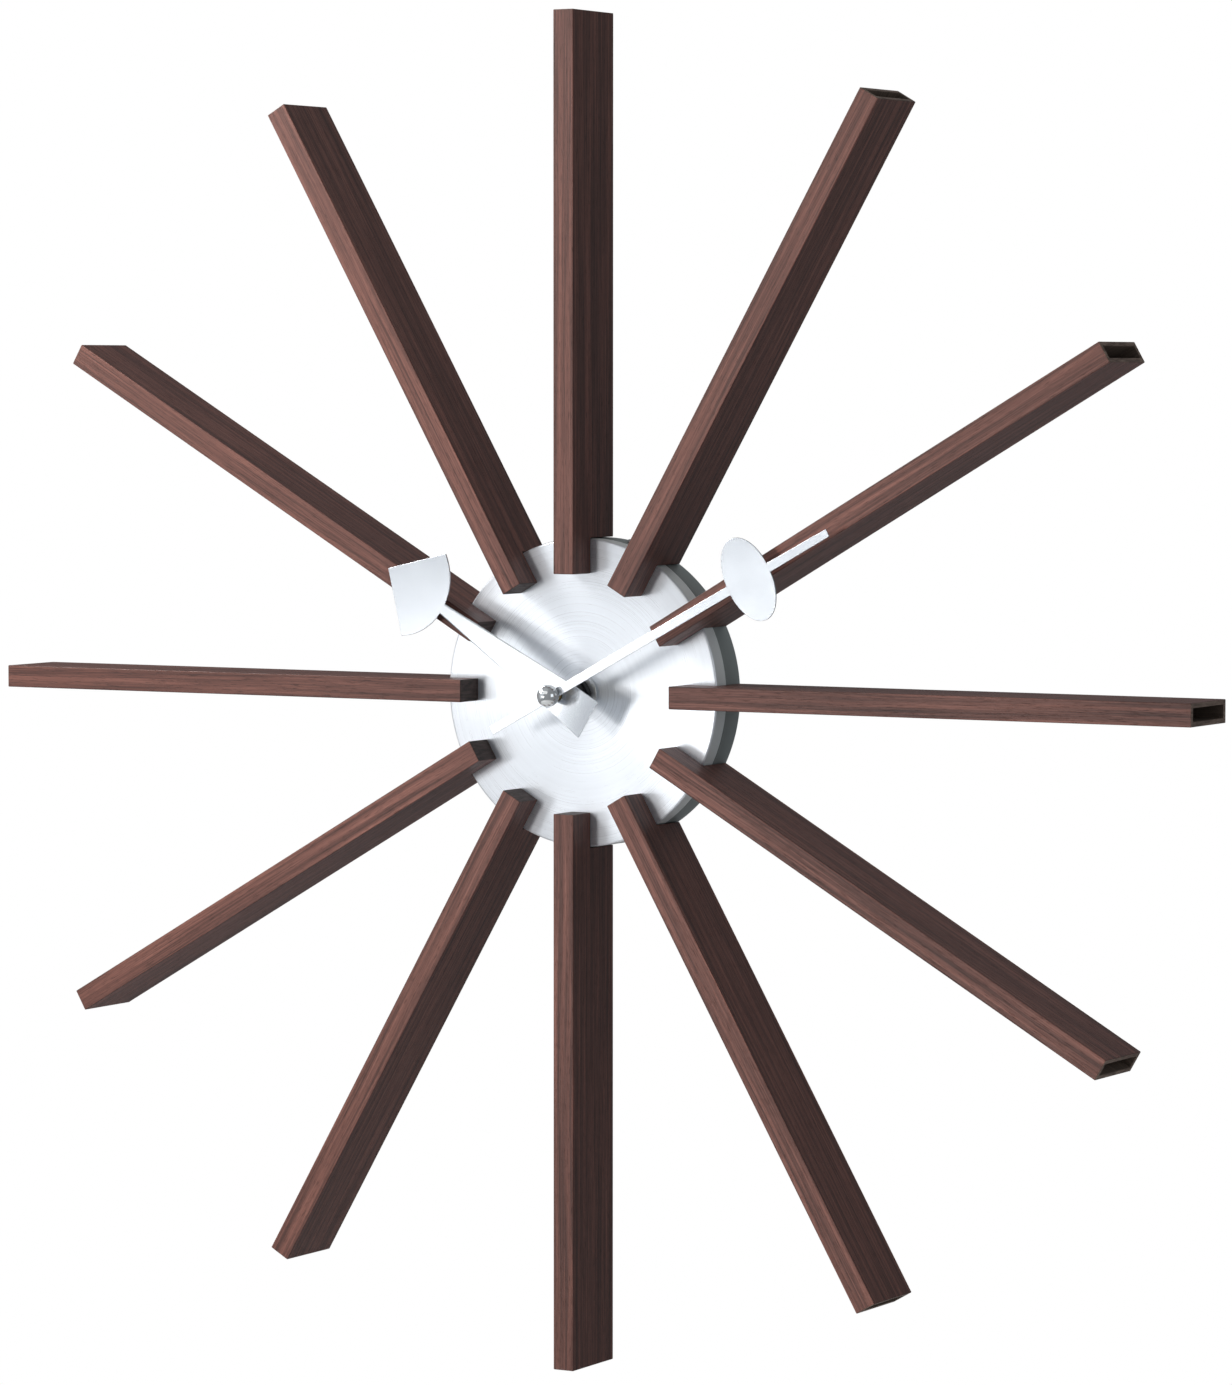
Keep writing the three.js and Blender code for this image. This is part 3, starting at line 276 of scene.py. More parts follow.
def walnut():
    """Dark walnut with a satin lacquer: straight grain along z, open pores, darker edges."""
    s = Shader("walnut_lacquered", Specular_IOR_Level=0.45, Coat_Weight=0.03, Coat_Roughness=0.35)
    seed = s.add("Attribute", {}, "Vector", attribute_name="grain_seed")
    tone = s.split(seed)[0]
    place = s.place()
    drift = s.noise(s.stretched(place, 60, 7, seed), 1.0, 2)
    wander = s.vector("ADD", place, s.add("CombineXYZ", {"X": s.math("MULTIPLY", drift, 0.004)}))
    figure = s.noise(s.stretched(wander, 420, 9, seed), 1.0, 3, 0.55)
    grain = s.noise(s.stretched(wander, 2100, 26, seed), 1.0, 5, 0.62)
    streak = s.noise(s.stretched(wander, 900, 5, seed), 1.0, 2, 0.5)
    pores = s.noise(s.stretched(wander, 4200, 190, seed), 1.0, 2, 0.5)
    body = s.math("ADD", s.math("MULTIPLY", figure, 0.55), s.math("MULTIPLY", grain, 0.45))
    colour = s.ramp(
        body,
        (0.30, (0.050, 0.020, 0.015)),
        (0.47, (0.126, 0.049, 0.036)),
        (0.60, (0.210, 0.084, 0.062)),
        (0.74, (0.295, 0.130, 0.100)),
    )
    dark_streak = s.ramp(streak, (0.36, 0.62), (0.52, 1.0))
    colour = s.mix(1.0, colour, dark_streak, "MULTIPLY")
    pore_mask = s.remap(pores, 0.34, 0.42, 1.0, 0.0)
    colour = s.mix(s.math("MULTIPLY", pore_mask, 0.6), colour, (0.030, 0.014, 0.011))
    shade = s.remap(s.math("FRACT", tone), 0, 1, 0.86, 1.12)
    grey = s.add("CombineColor", {"Red": shade, "Green": shade, "Blue": shade})
    colour = s.mix(1.0, colour, grey, "MULTIPLY")
    edge = s.edges(0.0007)
    colour = s.mix(s.math("MULTIPLY", edge, 0.45), colour, (0.035, 0.017, 0.014))
    s.set("Base Color", colour)
    rough = s.remap(grain, 0.3, 0.7, 0.50, 0.40)
    s.set("Roughness", s.math("ADD", rough, s.math("MULTIPLY", pore_mask, 0.2)))
    height = s.math("SUBTRACT", grain, s.math("MULTIPLY", pore_mask, 0.5))
    s.set("Normal", s.bump(height, 0.00008, 0.55))
    return s.material


def inner_wood_painted_shade():
    """Unlacquered wood inside the rays, darkened as painted shade: fuzzy, with saw marks across the grain.
    """
    s = Shader("wood_inside_painted_shade")
    seed = s.add("Attribute", {}, "Vector", attribute_name="grain_seed")
    place = s.place()
    fibre = s.noise(s.stretched(place, 1700, 40, seed), 1.0, 4, 0.6)
    saw = s.noise(s.stretched(place, 60, 1500, seed), 1.0, 2, 0.5)
    # dark browns: the shade inside the hollow painted into the wood's colour
    colour = s.ramp(
        fibre,
        (0.3, (0.080, 0.054, 0.040)),
        (0.5, (0.130, 0.090, 0.066)),
        (0.72, (0.190, 0.135, 0.100)),
    )
    s.set("Base Color", s.mix(0.35, colour, s.ramp(saw, (0.35, 0.75), (0.6, 1.0)), "MULTIPLY"))
    s.set("Roughness", s.remap(fibre, 0.3, 0.7, 0.85, 0.7))
    s.set("Normal", s.bump(s.math("ADD", fibre, s.math("MULTIPLY", saw, 0.5)), 0.0001, 0.7))
    return s.material


def end_grain(name, dark, light):
    """Wood cut across: growth rings and pores seen end on."""
    s = Shader(name)
    seed = s.add("Attribute", {}, "Vector", attribute_name="grain_seed")
    place = s.vector("ADD", s.place(), seed)
    pores = s.add("TexVoronoi", {"Vector": place, "Scale": 2600.0}, "Distance")
    rings = s.noise(s.vector("MULTIPLY", place, (900, 160, 900)), 1.0, 3, 0.55)
    colour = s.ramp(rings, (0.35, dark), (0.65, light))
    s.set("Base Color", s.mix(s.remap(pores, 0.0, 0.35, 0.7, 0.0), colour, (0.018, 0.009, 0.007)))
    s.set("Roughness", s.remap(rings, 0.3, 0.7, 0.7, 0.55))
    s.set("Normal", s.bump(pores, 0.00008, 0.5))
    return s.material


def around_axis(s):
    """Distance from the clock's axis, in metres."""
    return s.vector("LENGTH", s.vector("MULTIPLY", s.place(), (1, 0, 1)), (0, 0, 0))


def spun(name, colour, roughness, groove, aniso, rotation, metallic=0.5):
    """Metal turned on a lathe about the clock's axis: random concentric grooves and a sheen across them."""
    s = Shader(name, Metallic=metallic, Anisotropic=aniso, Anisotropic_Rotation=rotation)
    s.set("Tangent", s.add("Tangent", {}, direction_type="RADIAL", axis="Y"))
    radius = around_axis(s)
    fine = s.add("TexNoise", {"W": radius, "Scale": 5200.0, "Detail": 4.0}, "Fac", noise_dimensions="1D")
    broad = s.add("TexNoise", {"W": radius, "Scale": 520.0, "Detail": 2.0}, "Fac", noise_dimensions="1D")
    patch = s.noise(s.place(), 38, 4, 0.55)
    tint = s.ramp(broad, (0.3, scaled(colour, 0.955)), (0.7, colour))
    s.set("Base Color", s.mix(s.remap(patch, 0.45, 0.75, 0.0, 0.22), tint, scaled(colour, 0.9)))
    rough = s.math("ADD", s.remap(fine, 0.3, 0.7, -0.04, 0.05), s.remap(patch, 0.3, 0.7, 0.0, 0.04))
    s.set("Roughness", s.math("ADD", rough, roughness))
    height = s.math("ADD", fine, s.math("MULTIPLY", broad, 0.6))
    s.set("Normal", s.bump(height, groove, 0.6))
    return s.material


def brushed(name, colour, roughness, metallic=1.0, grain=(30, 2600, 2600), dirt=0.12):
    """Sheet metal with fine straight scratches along x, slight stains, and bright worn edges."""
    s = Shader(name, Metallic=metallic, Anisotropic=0.35)
    place = s.place()
    scratch = s.noise(s.vector("MULTIPLY", place, grain), 1.0, 4, 0.6)
    patch = s.noise(place, 70, 4, 0.6)
    tint = s.ramp(scratch, (0.3, scaled(colour, 0.9)), (0.65, colour))
    stain = s.math("MULTIPLY", s.remap(patch, 0.45, 0.7, 0, 1), dirt)
    stained = s.mix(stain, tint, scaled(colour, 0.55))
    worn = s.math("MULTIPLY", s.edges(0.0004), 0.4)
    s.set("Base Color", s.mix(worn, stained, scaled(colour, 1.15)))
    s.set("Roughness", s.math("ADD", s.remap(scratch, 0.3, 0.7, -0.06, 0.07), roughness))
    s.set("Normal", s.bump(scratch, 0.00002, 0.5))
    return s.material


def satin(name, colour, roughness):
    """Etched and lacquered sheet: an even fine grain, faint handling marks, and brighter edges."""
    s = Shader(name, Metallic=0.9)
    place = s.place()
    grain = s.noise(place, 5200, 3, 0.6)
    mark = s.noise(s.vector("MULTIPLY", place, (60, 60, 38)), 1.0, 5, 0.6)
    hair = s.noise(s.vector("MULTIPLY", place, (3400, 3400, 40)), 1.0, 2, 0.5)
    tint = s.ramp(mark, (0.3, scaled(colour, 0.965)), (0.7, colour))
    s.set("Base Color", s.mix(s.math("MULTIPLY", s.edges(0.0003), 0.3), tint, (0.95, 0.95, 0.95)))
    rough = s.math("ADD", s.remap(mark, 0.3, 0.7, -0.015, 0.025), s.remap(hair, 0.62, 0.74, 0.0, 0.02))
    s.set("Roughness", s.math("ADD", rough, roughness))
    s.set("Normal", s.bump(grain, 0.000004, 0.5))
    return s.material


def enamel(name, colour):
    """Sprayed paint on metal: orange peel, fine specks, and thin paint on the edges."""
    s = Shader(name, Coat_Weight=0.1, Coat_Roughness=0.25)
    place = s.place()
    ripple = s.noise(place, 900, 3, 0.5)
    speck = s.noise(place, 5200, 2, 0.5)
    patch = s.noise(place, 25, 3, 0.5)
    tint = s.ramp(patch, (0.3, scaled(colour, 0.93)), (0.7, colour))
    tint = s.mix(s.remap(speck, 0.62, 0.72, 0.0, 0.25), tint, scaled(colour, 0.7))
    s.set("Base Color", s.mix(s.math("MULTIPLY", s.edges(0.0004), 0.35), tint, (0.5, 0.5, 0.5)))
    s.set("Roughness", s.remap(patch, 0.3, 0.7, 0.38, 0.48))
    s.set("Normal", s.bump(ripple, 0.00004, 0.5))
    return s.material


def moulded(name, colour, roughness=0.5):
    """Injection-moulded plastic: spark-eroded grain, polish where it is handled, pale rubbed edges."""
    s = Shader(name)
    place = s.place()
    texture = s.add("TexVoronoi", {"Vector": place, "Scale": 3200.0}, "Distance", feature="SMOOTH_F1")
    flow = s.noise(s.vector("MULTIPLY", place, (60, 200, 90)), 1.0, 3, 0.5)
    tint = s.ramp(flow, (0.3, scaled(colour, 0.85)), (0.7, scaled(colour, 1.1)))
    rubbed = tuple(min(1, c * 1.6 + 0.03) for c in colour)
    s.set("Base Color", s.mix(s.math("MULTIPLY", s.edges(0.0004), 0.3), tint, rubbed))
    s.set("Roughness", s.remap(flow, 0.3, 0.7, roughness - 0.06, roughness + 0.08))
    s.set("Normal", s.bump(texture, 0.00004, 0.45))
    return s.material


def polished(name):
    """Bright plating with faint smears and hairline scratches."""
    s = Shader(name, Metallic=0.85)
    colour = (0.90, 0.91, 0.91)
    place = s.place()
    smear = s.noise(place, 260, 4, 0.6, 1.5)
    hair = s.noise(s.vector("MULTIPLY", place, (400, 9000, 3000)), 1.0, 2, 0.5)
    s.set("Base Color", s.ramp(smear, (0.35, scaled(colour, 0.95)), (0.65, colour)))
    rough = s.remap(smear, 0.35, 0.7, 0.045, 0.12)
    s.set("Roughness", s.math("ADD", rough, s.remap(hair, 0.6, 0.75, 0, 0.06)))
    return s.material


def winding(name):
    """Enamelled copper wire in close turns across z."""
    s = Shader(name, Metallic=0.85, Coat_Weight=0.6, Coat_Roughness=0.15)
    place = s.place()
    z = s.split(place)[2]
    turns = s.math("ABSOLUTE", s.math("SINE", s.math("MULTIPLY", z, 9000)))
    layer = s.noise(s.vector("MULTIPLY", place, (300, 300, 1400)), 1.0, 3, 0.5)
    s.set("Base Color", s.ramp(layer, (0.3, (0.32, 0.10, 0.035)), (0.7, (0.62, 0.23, 0.085))))
    s.set("Roughness", s.remap(turns, 0, 1, 0.5, 0.28))
    s.set("Normal", s.bump(turns, 0.00006, 0.9))
    return s.material


def circuit_green(name):
    """Solder mask over straight copper tracks."""
    s = Shader(name, Coat_Weight=0.5, Coat_Roughness=0.2)
    place = s.place()
    tracks = s.add(
        "TexBrick",
        {
            "Vector": s.vector("MULTIPLY", place, (1, 0, 1)),
            "Color1": (0.020, 0.105, 0.040),
            "Color2": (0.026, 0.130, 0.050),
            "Mortar": (0.075, 0.230, 0.085),
            "Scale": 260.0,
            "Mortar Size": 0.02,
        },
        "Color",
    )
    weave = s.noise(s.vector("MULTIPLY", place, (2600, 2600, 700)), 1.0, 2, 0.5)
    s.set("Base Color", s.mix(0.35, tracks, s.ramp(weave, (0.35, 0.7), (0.65, 1.0)), "MULTIPLY"))
    s.set("Roughness", s.remap(weave, 0.3, 0.7, 0.3, 0.45))
    s.set("Normal", s.bump(weave, 0.00002, 0.4))
    return s.material


def cell_jacket(name):
    """Foil sleeve: a dark body, a thin pale line and a lighter end, with fine flake and rubbed patches."""
    s = Shader(name, Metallic=0.55, Coat_Weight=0.5, Coat_Roughness=0.18)
    place = s.place()
    x = s.split(place)[0]
    flake = s.add("TexVoronoi", {"Vector": place, "Scale": 5200.0}, "Color")
    scuff = s.noise(s.vector("MULTIPLY", place, (700, 120, 120)), 1.0, 5, 0.65)
    band = s.remap(x, -0.0118, -0.0116, 1.0, 0.0)
    rim = s.remap(x, -0.0122, -0.0120, 1.0, 0.0)
    ground = s.mix(band, (0.020, 0.045, 0.085), (0.70, 0.70, 0.68))
    ground = s.mix(rim, ground, (0.055, 0.150, 0.235))
    ground = s.mix(0.12, ground, flake, "OVERLAY")
    s.set("Base Color", s.mix(s.remap(scuff, 0.62, 0.75, 0, 0.5), ground, (0.5, 0.5, 0.52)))
    s.set("Roughness", s.remap(scuff, 0.3, 0.7, 0.26, 0.42))
    s.set("Normal", s.bump(scuff, 0.00002, 0.4))
    return s.material


def rubber(name):
    """Matt black rubber with bloom and a pebbled skin."""
    s = Shader(name)
    place = s.place()
    pebble = s.add("TexVoronoi", {"Vector": place, "Scale": 2400.0}, "Distance")
    bloom = s.noise(place, 150, 4, 0.6)
    s.set("Base Color", s.ramp(bloom, (0.3, (0.012, 0.012, 0.012)), (0.75, (0.040, 0.040, 0.038))))
    s.set("Roughness", s.remap(bloom, 0.3, 0.7, 0.8, 0.92))
    s.set("Normal", s.bump(pebble, 0.00006, 0.5))
    return s.material


WALNUT = walnut()
# the inside of the rays is coloured dark as painted shade of the hollows
INNER_WOOD_PAINTED_SHADE = inner_wood_painted_shade()
END_GRAIN = end_grain("wood_end_stained", (0.026, 0.015, 0.012), (0.062, 0.034, 0.027))
RIM = end_grain("wood_end_cut", (0.110, 0.072, 0.054), (0.240, 0.165, 0.125))
SPUN = spun("aluminium_spun", (0.83, 0.86, 0.90), 0.29, 0.000005, 0.8, 0.25)
SKIRT = spun("aluminium_skirt", (0.88, 0.91, 0.89), 0.38, 0.000006, 0.5, 0.0, 0.15)
HAND_METAL = satin("aluminium_satin", (0.66, 0.68, 0.71), 0.22)
BRIGHT_STEEL = satin("steel_bright", (0.80, 0.81, 0.82), 0.34)
GREY = enamel("enamel_grey", (0.285, 0.315, 0.305))
CHROME = polished("chrome")
BLACKED = brushed("steel_blackened", (0.035, 0.036, 0.038), 0.42, 1.0, (900, 900, 900), 0.3)
BRASS = brushed("brass", (0.76, 0.56, 0.25), 0.30)
STEEL = brushed("steel_zinc", (0.70, 0.71, 0.71), 0.36, 0.6)
BLACK = moulded("plastic_black", (0.018, 0.018, 0.020))
IVORY = moulded("plastic_ivory", (0.72, 0.69, 0.60), 0.42)
RUBBER = rubber("rubber_black")
COPPER = winding("copper_winding")
BOARD = circuit_green("board_green")
JACKET = cell_jacket("cell_jacket")


# ------------------------------------------------------------------ mesh building

def mesh_object(name, vertices, faces, materials, sharp=35, material_of=None):
    """A named object from plain lists, with outward normals, smooth faces and sharp edges by angle."""
    mesh = bpy.data.meshes.new(name)
    bm = bmesh.new()
    corners = [bm.verts.new(Vector(v) * MM) for v in vertices]
    for index, face in enumerate(faces):
        made = bm.faces.new([corners[i] for i in face])
        made.material_index = material_of[index] if material_of else 0
    bmesh.ops.remove_doubles(bm, verts=bm.verts, dist=1e-7)
    bmesh.ops.recalc_face_normals(bm, faces=bm.faces)
    bm.to_mesh(mesh)
    bm.free()
    for material in materials:
        mesh.materials.append(material)
    smooth(mesh, sharp)
    return add_object(name, mesh)


def smooth(mesh, sharp=35):
    """Smooth shading, but for edges sharper than an angle."""
    mesh.polygons.foreach_set("use_smooth", [True] * len(mesh.polygons))
    mesh.set_sharp_from_angle(angle=math.radians(sharp))


def bevel(thing, width, segments=2):
    """Softens the sharp edges of a finished piece."""
    modifier = thing.modifiers.new("soft_edges", "BEVEL")
    modifier.width = width * MM
    modifier.segments = segments
    modifier.limit_method = "ANGLE"
    modifier.angle_limit = math.radians(40)
    modifier.harden_normals = True
    modifier.miter_outer = "MITER_ARC"
    return thing


def baked(thing):
    """The piece with its modifiers turned into mesh."""
    graph = bpy.context.evaluated_depsgraph_get()
    mesh = bpy.data.meshes.new_from_object(thing.evaluated_get(graph))
    thing.modifiers.clear()
    thing.data = mesh
    return thing


def cut(thing, *cutters, operation="DIFFERENCE"):
    """Cuts other objects out of a piece, or joins them to it, and removes them."""
    for cutter in cutters:
        modifier = thing.modifiers.new("cut", "BOOLEAN")
        modifier.operation = operation
        modifier.object = cutter
        modifier.solver = "EXACT"
    baked(thing)
    for cutter in cutters:
        bpy.data.objects.remove(cutter)
    smooth(thing.data)
    return thing


def arc(centre, radius, start, end, steps):
    """Points of an arc in a profile, angles in degrees."""
    angles = [math.radians(start + (end - start) * i / steps) for i in range(steps + 1)]
    return [(centre[0] + radius * math.cos(a), centre[1] + radius * math.sin(a)) for a in angles]


def lathe(name, profile, materials, segments=96, closed=True, material_of=None):
    """A profile of (radius, height above the wall) points, turned about the clock's axis."""
    vertices, rows = [], []
    for radius, height in profile:
        if radius < 1e-6:
            rows.append([len(vertices)] * segments)
            vertices.append((0, -height, 0))
            continue
        rows.append([len(vertices) + i for i in range(segments)])
        for i in range(segments):
            angle = 2 * math.pi * i / segments
            vertices.append((radius * math.cos(angle), -height, radius * math.sin(angle)))
    pairs = list(zip(rows, rows[1:]))
    if closed and profile[0][0] > 0 and profile[-1][0] > 0:
        pairs.append((rows[-1], rows[0]))
    faces, finishes = [], []
    for index, (low, high) in enumerate(pairs):
        for i in range(segments):
            j = (i + 1) % segments
            ring = [low[i], low[j], high[j], high[i]]
            ring = [v for k, v in enumerate(ring) if v not in ring[:k]]
            if len(ring) > 2:
                faces.append(ring)
                finishes.append(material_of[index] if material_of else 0)
    return mesh_object(name, vertices, faces, materials, material_of=finishes)


def prism(name, outline, low, high, materials):
    """An outline of (x, z) points between two heights above the wall."""
    count = len(outline)
    vertices = [(x, -low, z) for x, z in outline] + [(x, -high, z) for x, z in outline]
    faces = [list(range(count)), list(range(count, 2 * count))]
    faces += [[i, (i + 1) % count, count + (i + 1) % count, count + i] for i in range(count)]
    return mesh_object(name, vertices, faces, materials)


def circle(x, z, radius, steps=48):
    return arc((x, z), radius, 0, 360, steps)[:-1]


def refined(name, node, materials, soft=0.0):
    """A copy of a CAD solid with its flat faces whole, its round ones smooth and its edges softened."""
    bm = bmesh.new()
    bm.from_mesh(frame["nodes"][node].data)
    bmesh.ops.remove_doubles(bm, verts=bm.verts, dist=1e-6)
    bmesh.ops.dissolve_limit(bm, angle_limit=math.radians(1), verts=bm.verts, edges=bm.edges)
    bm.verts.index_update()
    vertices = [v.co / MM for v in bm.verts]
    faces = [[v.index for v in face.verts] for face in bm.faces]
    bm.free()
    thing = mesh_object(name, vertices, faces, materials)
    return bevel(thing, soft) if soft else thing


def radial_axis(thing, height):
    """Lays a turned piece along +Z, its axis at a height above the wall."""
    thing.data.transform(Matrix.Translation((0, -height * MM, 0)) @ Matrix.Rotation(-math.pi / 2, 4, "X"))
    return thing


def turned_to(thing, angle):
    """Turns a piece that points to twelve clockwise about the clock's axis."""
    thing.rotation_euler.y = math.radians(angle)
    bpy.context.view_layer.update()
    return thing


def stands_for(thing, slot, *nodes):
    """The piece takes the place of CAD nodes, and rides on the body that they are on."""
    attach(thing, frame["nodes"][nodes[0]]["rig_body"])
    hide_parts(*nodes)


# ------------------------------------------------------------------ rays

LACQUERED, STAINED_END, CUT_END, INSIDE = range(4)
RAY_WOODS = [WALNUT, END_GRAIN, RIM, INNER_WOOD_PAINTED_SHADE]


def hour_of(index):
    """The hour that a ray or screw points to, as two digits."""
    return f"{index or RAY_COUNT:02d}"


def ray_mesh(name, seed):
    """A notched box that points to twelve, hollow from its outer end."""
    half = RAY_WIDTH / 2
    inner = half - RAY_WALL
    outline = [
        (RAY_NOSE, RAY_UNDER),
        (RAY_ROOT, RAY_UNDER),
        (RAY_ROOT, RAY_BACK),
        (RAY_END, RAY_BACK),
        (RAY_END, RAY_FRONT),
        (RAY_NOSE, RAY_FRONT),
    ]
    count = len(outline)
    vertices = [(x, -height, along) for x in (-half, half) for along, height in outline]
    low, high = RAY_BACK + RAY_WALL, RAY_FRONT - RAY_WALL
    hollow = ((-inner, low), (inner, low), (inner, high), (-inner, high))
    for along in (RAY_END, RAY_FLOOR):
        vertices += [(x, -height, along) for x, height in hollow]
    # two quads for each notched side, then the strips between the sides, but for the open outer end
    faces = [[0, 1, 4, 5], [1, 2, 3, 4], [6, 7, 10, 11], [7, 8, 9, 10]]
    faces += [[i, (i + 1) % count, count + (i + 1) % count, count + i] for i in range(count) if i != 3]
    finishes = [LACQUERED] * len(faces)
    finishes[5] = finishes[8] = STAINED_END  # the step at the drum and the end of the nose
    mouth, floor = range(12, 16), range(16, 20)
    rim = [3, 9, 10, 4]
    for i in range(4):
        j = (i + 1) % 4
        faces.append([rim[i], rim[j], mouth[j], mouth[i]])
        finishes.append(CUT_END)
        faces.append([mouth[i], mouth[j], floor[j], floor[i]])
        finishes.append(INSIDE)
    faces.append(list(floor))
    finishes.append(INSIDE)
    thing = mesh_object(name, vertices, faces, RAY_WOODS, material_of=finishes)
    layer = thing.data.attributes.new("grain_seed", "FLOAT_VECTOR", "POINT")
    layer.data.foreach_set("vector", [seed * 7.31, seed * 3.17, seed * 5.77] * len(thing.data.vertices))
    return bevel(thing, 0.35, 3)


for index in range(RAY_COUNT):
    wood = turned_to(ray_mesh(f"ray_wood_{hour_of(index)}", 1.0 + index), 360 / RAY_COUNT * index)
    stands_for(wood, "walnut", f"ray_{hour_of(index)}")


# ------------------------------------------------------------------ screws and rivets

def screw_mesh():
    """A slotted pan-head wood screw along +Z, its thread cut as rings."""
    seat, thread_from, thread_to, point = 66.7, 71.5, 84.2, 86.8
    head, head_radius, head_round = 2.1, 2.75, 1.0
    shank, root = 1.6, 1.15
    pitch, turns = 1.3, 9
    top = seat - head
    crown = (head_radius - head_round, top + head_round)
    profile = [(0, top), *arc(crown, head_round, -90, 0, 6)]
    profile += [(head_radius, seat), (shank, seat), (shank, thread_from)]
    for i in range(turns):
        start = thread_from + i * pitch
        profile += [(root, start + 0.5), (root, start + 0.8), (shank, start + pitch)]
    profile += [(root, thread_to), (0, point)]
    screw = radial_axis(lathe("screw", profile, [STEEL], 32), SCREW_HEIGHT)
    slot_half, reach, floor = 0.4, 4, top + 0.95
    outline = [(-reach, top - 1), (reach, top - 1), (reach, floor), (-reach, floor)]
    slot = prism("slot", outline, SCREW_HEIGHT - slot_half, SCREW_HEIGHT + slot_half, [STEEL])
    return cut(screw, slot)


pattern = screw_mesh()
for index in range(RAY_COUNT):
    screw = add_object(f"ray_screw_steel_{hour_of(index)}", pattern.data)
    stands_for(turned_to(screw, 360 / RAY_COUNT * index), "zinc_steel", f"ray_screw_{hour_of(index)}")
bpy.data.objects.remove(pattern)

# (radius, distance from the dial's axis), from the set head inside the drum to the dome outside it
RIVET_PROFILE = [
    (0, 64.7),
    *arc((1.4, 65.1), 0.4, -90, -10, 4),
    (2.2, 65.7),
    (1.5, 65.7),
    (1.5, 69.8),
    (2.8, 69.8),
    *arc((1.9, 69.95), 0.9, 0, 75, 6),
    (0, 70.9),
]
for side, angle in (("left", -RIVET_ANGLE), ("right", RIVET_ANGLE)):
    rivet = radial_axis(lathe(f"rivet_{side}", RIVET_PROFILE, [STEEL], 32), RIVET_HEIGHT)
    stands_for(turned_to(rivet, angle), "zinc_steel", f"hanger_rivet_{side}")


# ------------------------------------------------------------------ dial, drum and hanger

DIAL_BACK = DIAL_FRONT - DIAL_SHEET
DIAL_INSIDE = DIAL_RADIUS - DIAL_SHEET
DIAL_PROFILE = [
    (BUSH_HOLE, DIAL_BACK),
    (DIAL_INSIDE, DIAL_BACK),
    (DIAL_INSIDE, 13.3),
    *arc((DIAL_RADIUS - 0.5, 13.5), 0.5, 200, 340, 4),
    *arc((DIAL_INSIDE, DIAL_BACK), DIAL_SHEET, 0, 90, 8),
    (60, DIAL_FRONT),
    (40, DIAL_FRONT),
    (20, DIAL_FRONT),
    (4.5, DIAL_FRONT),
    (BUSH_HOLE, 22.1),
]
skirt_part = [0] * 3 + [1] * 6 + [0] * 13  # the skirt's curled edge and outside have their own finish
dial = lathe("dial_pan", DIAL_PROFILE, [SPUN, SKIRT], 256, material_of=skirt_part)
stands_for(dial, "spun_aluminium", "dial_face")

# (radius, height): the flange on the wall, the side, the ring inside the dial's skirt, and back down inside
DRUM_PROFILE = [
    *arc((63.4, 0.4), 0.4, 180, 270, 3),
    *arc((68.9, 0.6), 0.6, -90, 0, 4),
    *arc((69.2, 12.7), 0.3, 0, 90, 3),
    (68.2, 13.0),
    *arc((67.9, 20.7), 0.3, 0, 90, 3),
    *arc((67.3, 20.7), 0.3, 90, 180, 3),
    (67.0, 12.0),
    (68.0, 11.0),
    *arc((67.4, 1.8), 0.6, 0, -90, 4),
    *arc((63.4, 0.8), 0.4, 90, 180, 3),
]
stands_for(lathe("drum_ring", DRUM_PROFILE, [GREY], 256), "grey_paint", "drum_case")


def hanger():
    """Bent plate with a keyhole, its flange inside the drum's wall."""
    outer, half_width, low_edge = 67.7, 24, 42
    back, sheet, flange_front = 1.5, 1.4, 10.5
    entry_at, entry_radius = 48.5, 4.75
    slot_from, slot_at, slot_radius = 49, 57, 2.6
    through = (0, 4)  # heights of the cutters, past both faces of the plate
    reach = math.degrees(math.asin(half_width / outer))
    rim = arc((0, 0), outer, 90 - reach, 90 + reach, 40)
    outline = [(-half_width, low_edge), (half_width, low_edge), *rim]
    plate = prism("hanger", outline, back, back + sheet, [STEEL])
    band = rim + arc((0, 0), outer - sheet, 90 + reach, 90 - reach, 40)
    cut(plate, prism("flange", band, back, flange_front, [STEEL]), operation="UNION")
    entry = prism("entry", circle(0, entry_at, entry_radius), *through, [STEEL])
    slot = [(-slot_radius, slot_from), (slot_radius, slot_from), *arc((0, slot_at), slot_radius, 0, 180, 24)]
    cut(plate, entry, prism("neck", slot, *through, [STEEL]))
    return bevel(plate, 0.2)


stands_for(hanger(), "zinc_steel", "hanger_plate")


# ------------------------------------------------------------------ movement case

def shell():
    """The front shell, with a thread cut on its bush."""
    case = refined("movement_shell", "movement_housing", [BLACK])
    first, pitch, turns = 22.5, 0.75, 10
    outside, root, half = 4.3, 3.62, 0.34
    rings = []
    for i in range(turns):
        middle = first + i * pitch
        groove = [(outside, middle - half), (root, middle), (outside, middle + half)]
        rings.append(lathe("ring", groove, [BLACK], 64))
    cut(case, *rings)
    return bevel(case, 0.25)


def back_cover():
    """The rear cover, with round ejector marks and a groove round the middle pivot."""
    cover = refined("movement_back", "movement_cover", [BLACK])
    outside, mark_floor, groove_floor = 4.3, 4.62, 4.7
    places = ((-20, 20), (-8, -5), (22, 8))
    marks = [prism("mark", circle(x, z, 1.6, 24), outside, mark_floor, [BLACK]) for x, z in places]
    ring = [(1, outside), (1.7, outside), (1.7, groove_floor), (1, groove_floor)]
    groove = lathe("groove", ring, [BLACK], 32)
    return bevel(cut(cover, *marks, groove), 0.15)


stands_for(shell(), "black_plastic", "movement_housing")
stands_for(back_cover(), "black_plastic", "movement_cover")
stands_for(refined("gasket", "rubber_gasket", [RUBBER], 0.2), "rubber", "rubber_gasket")

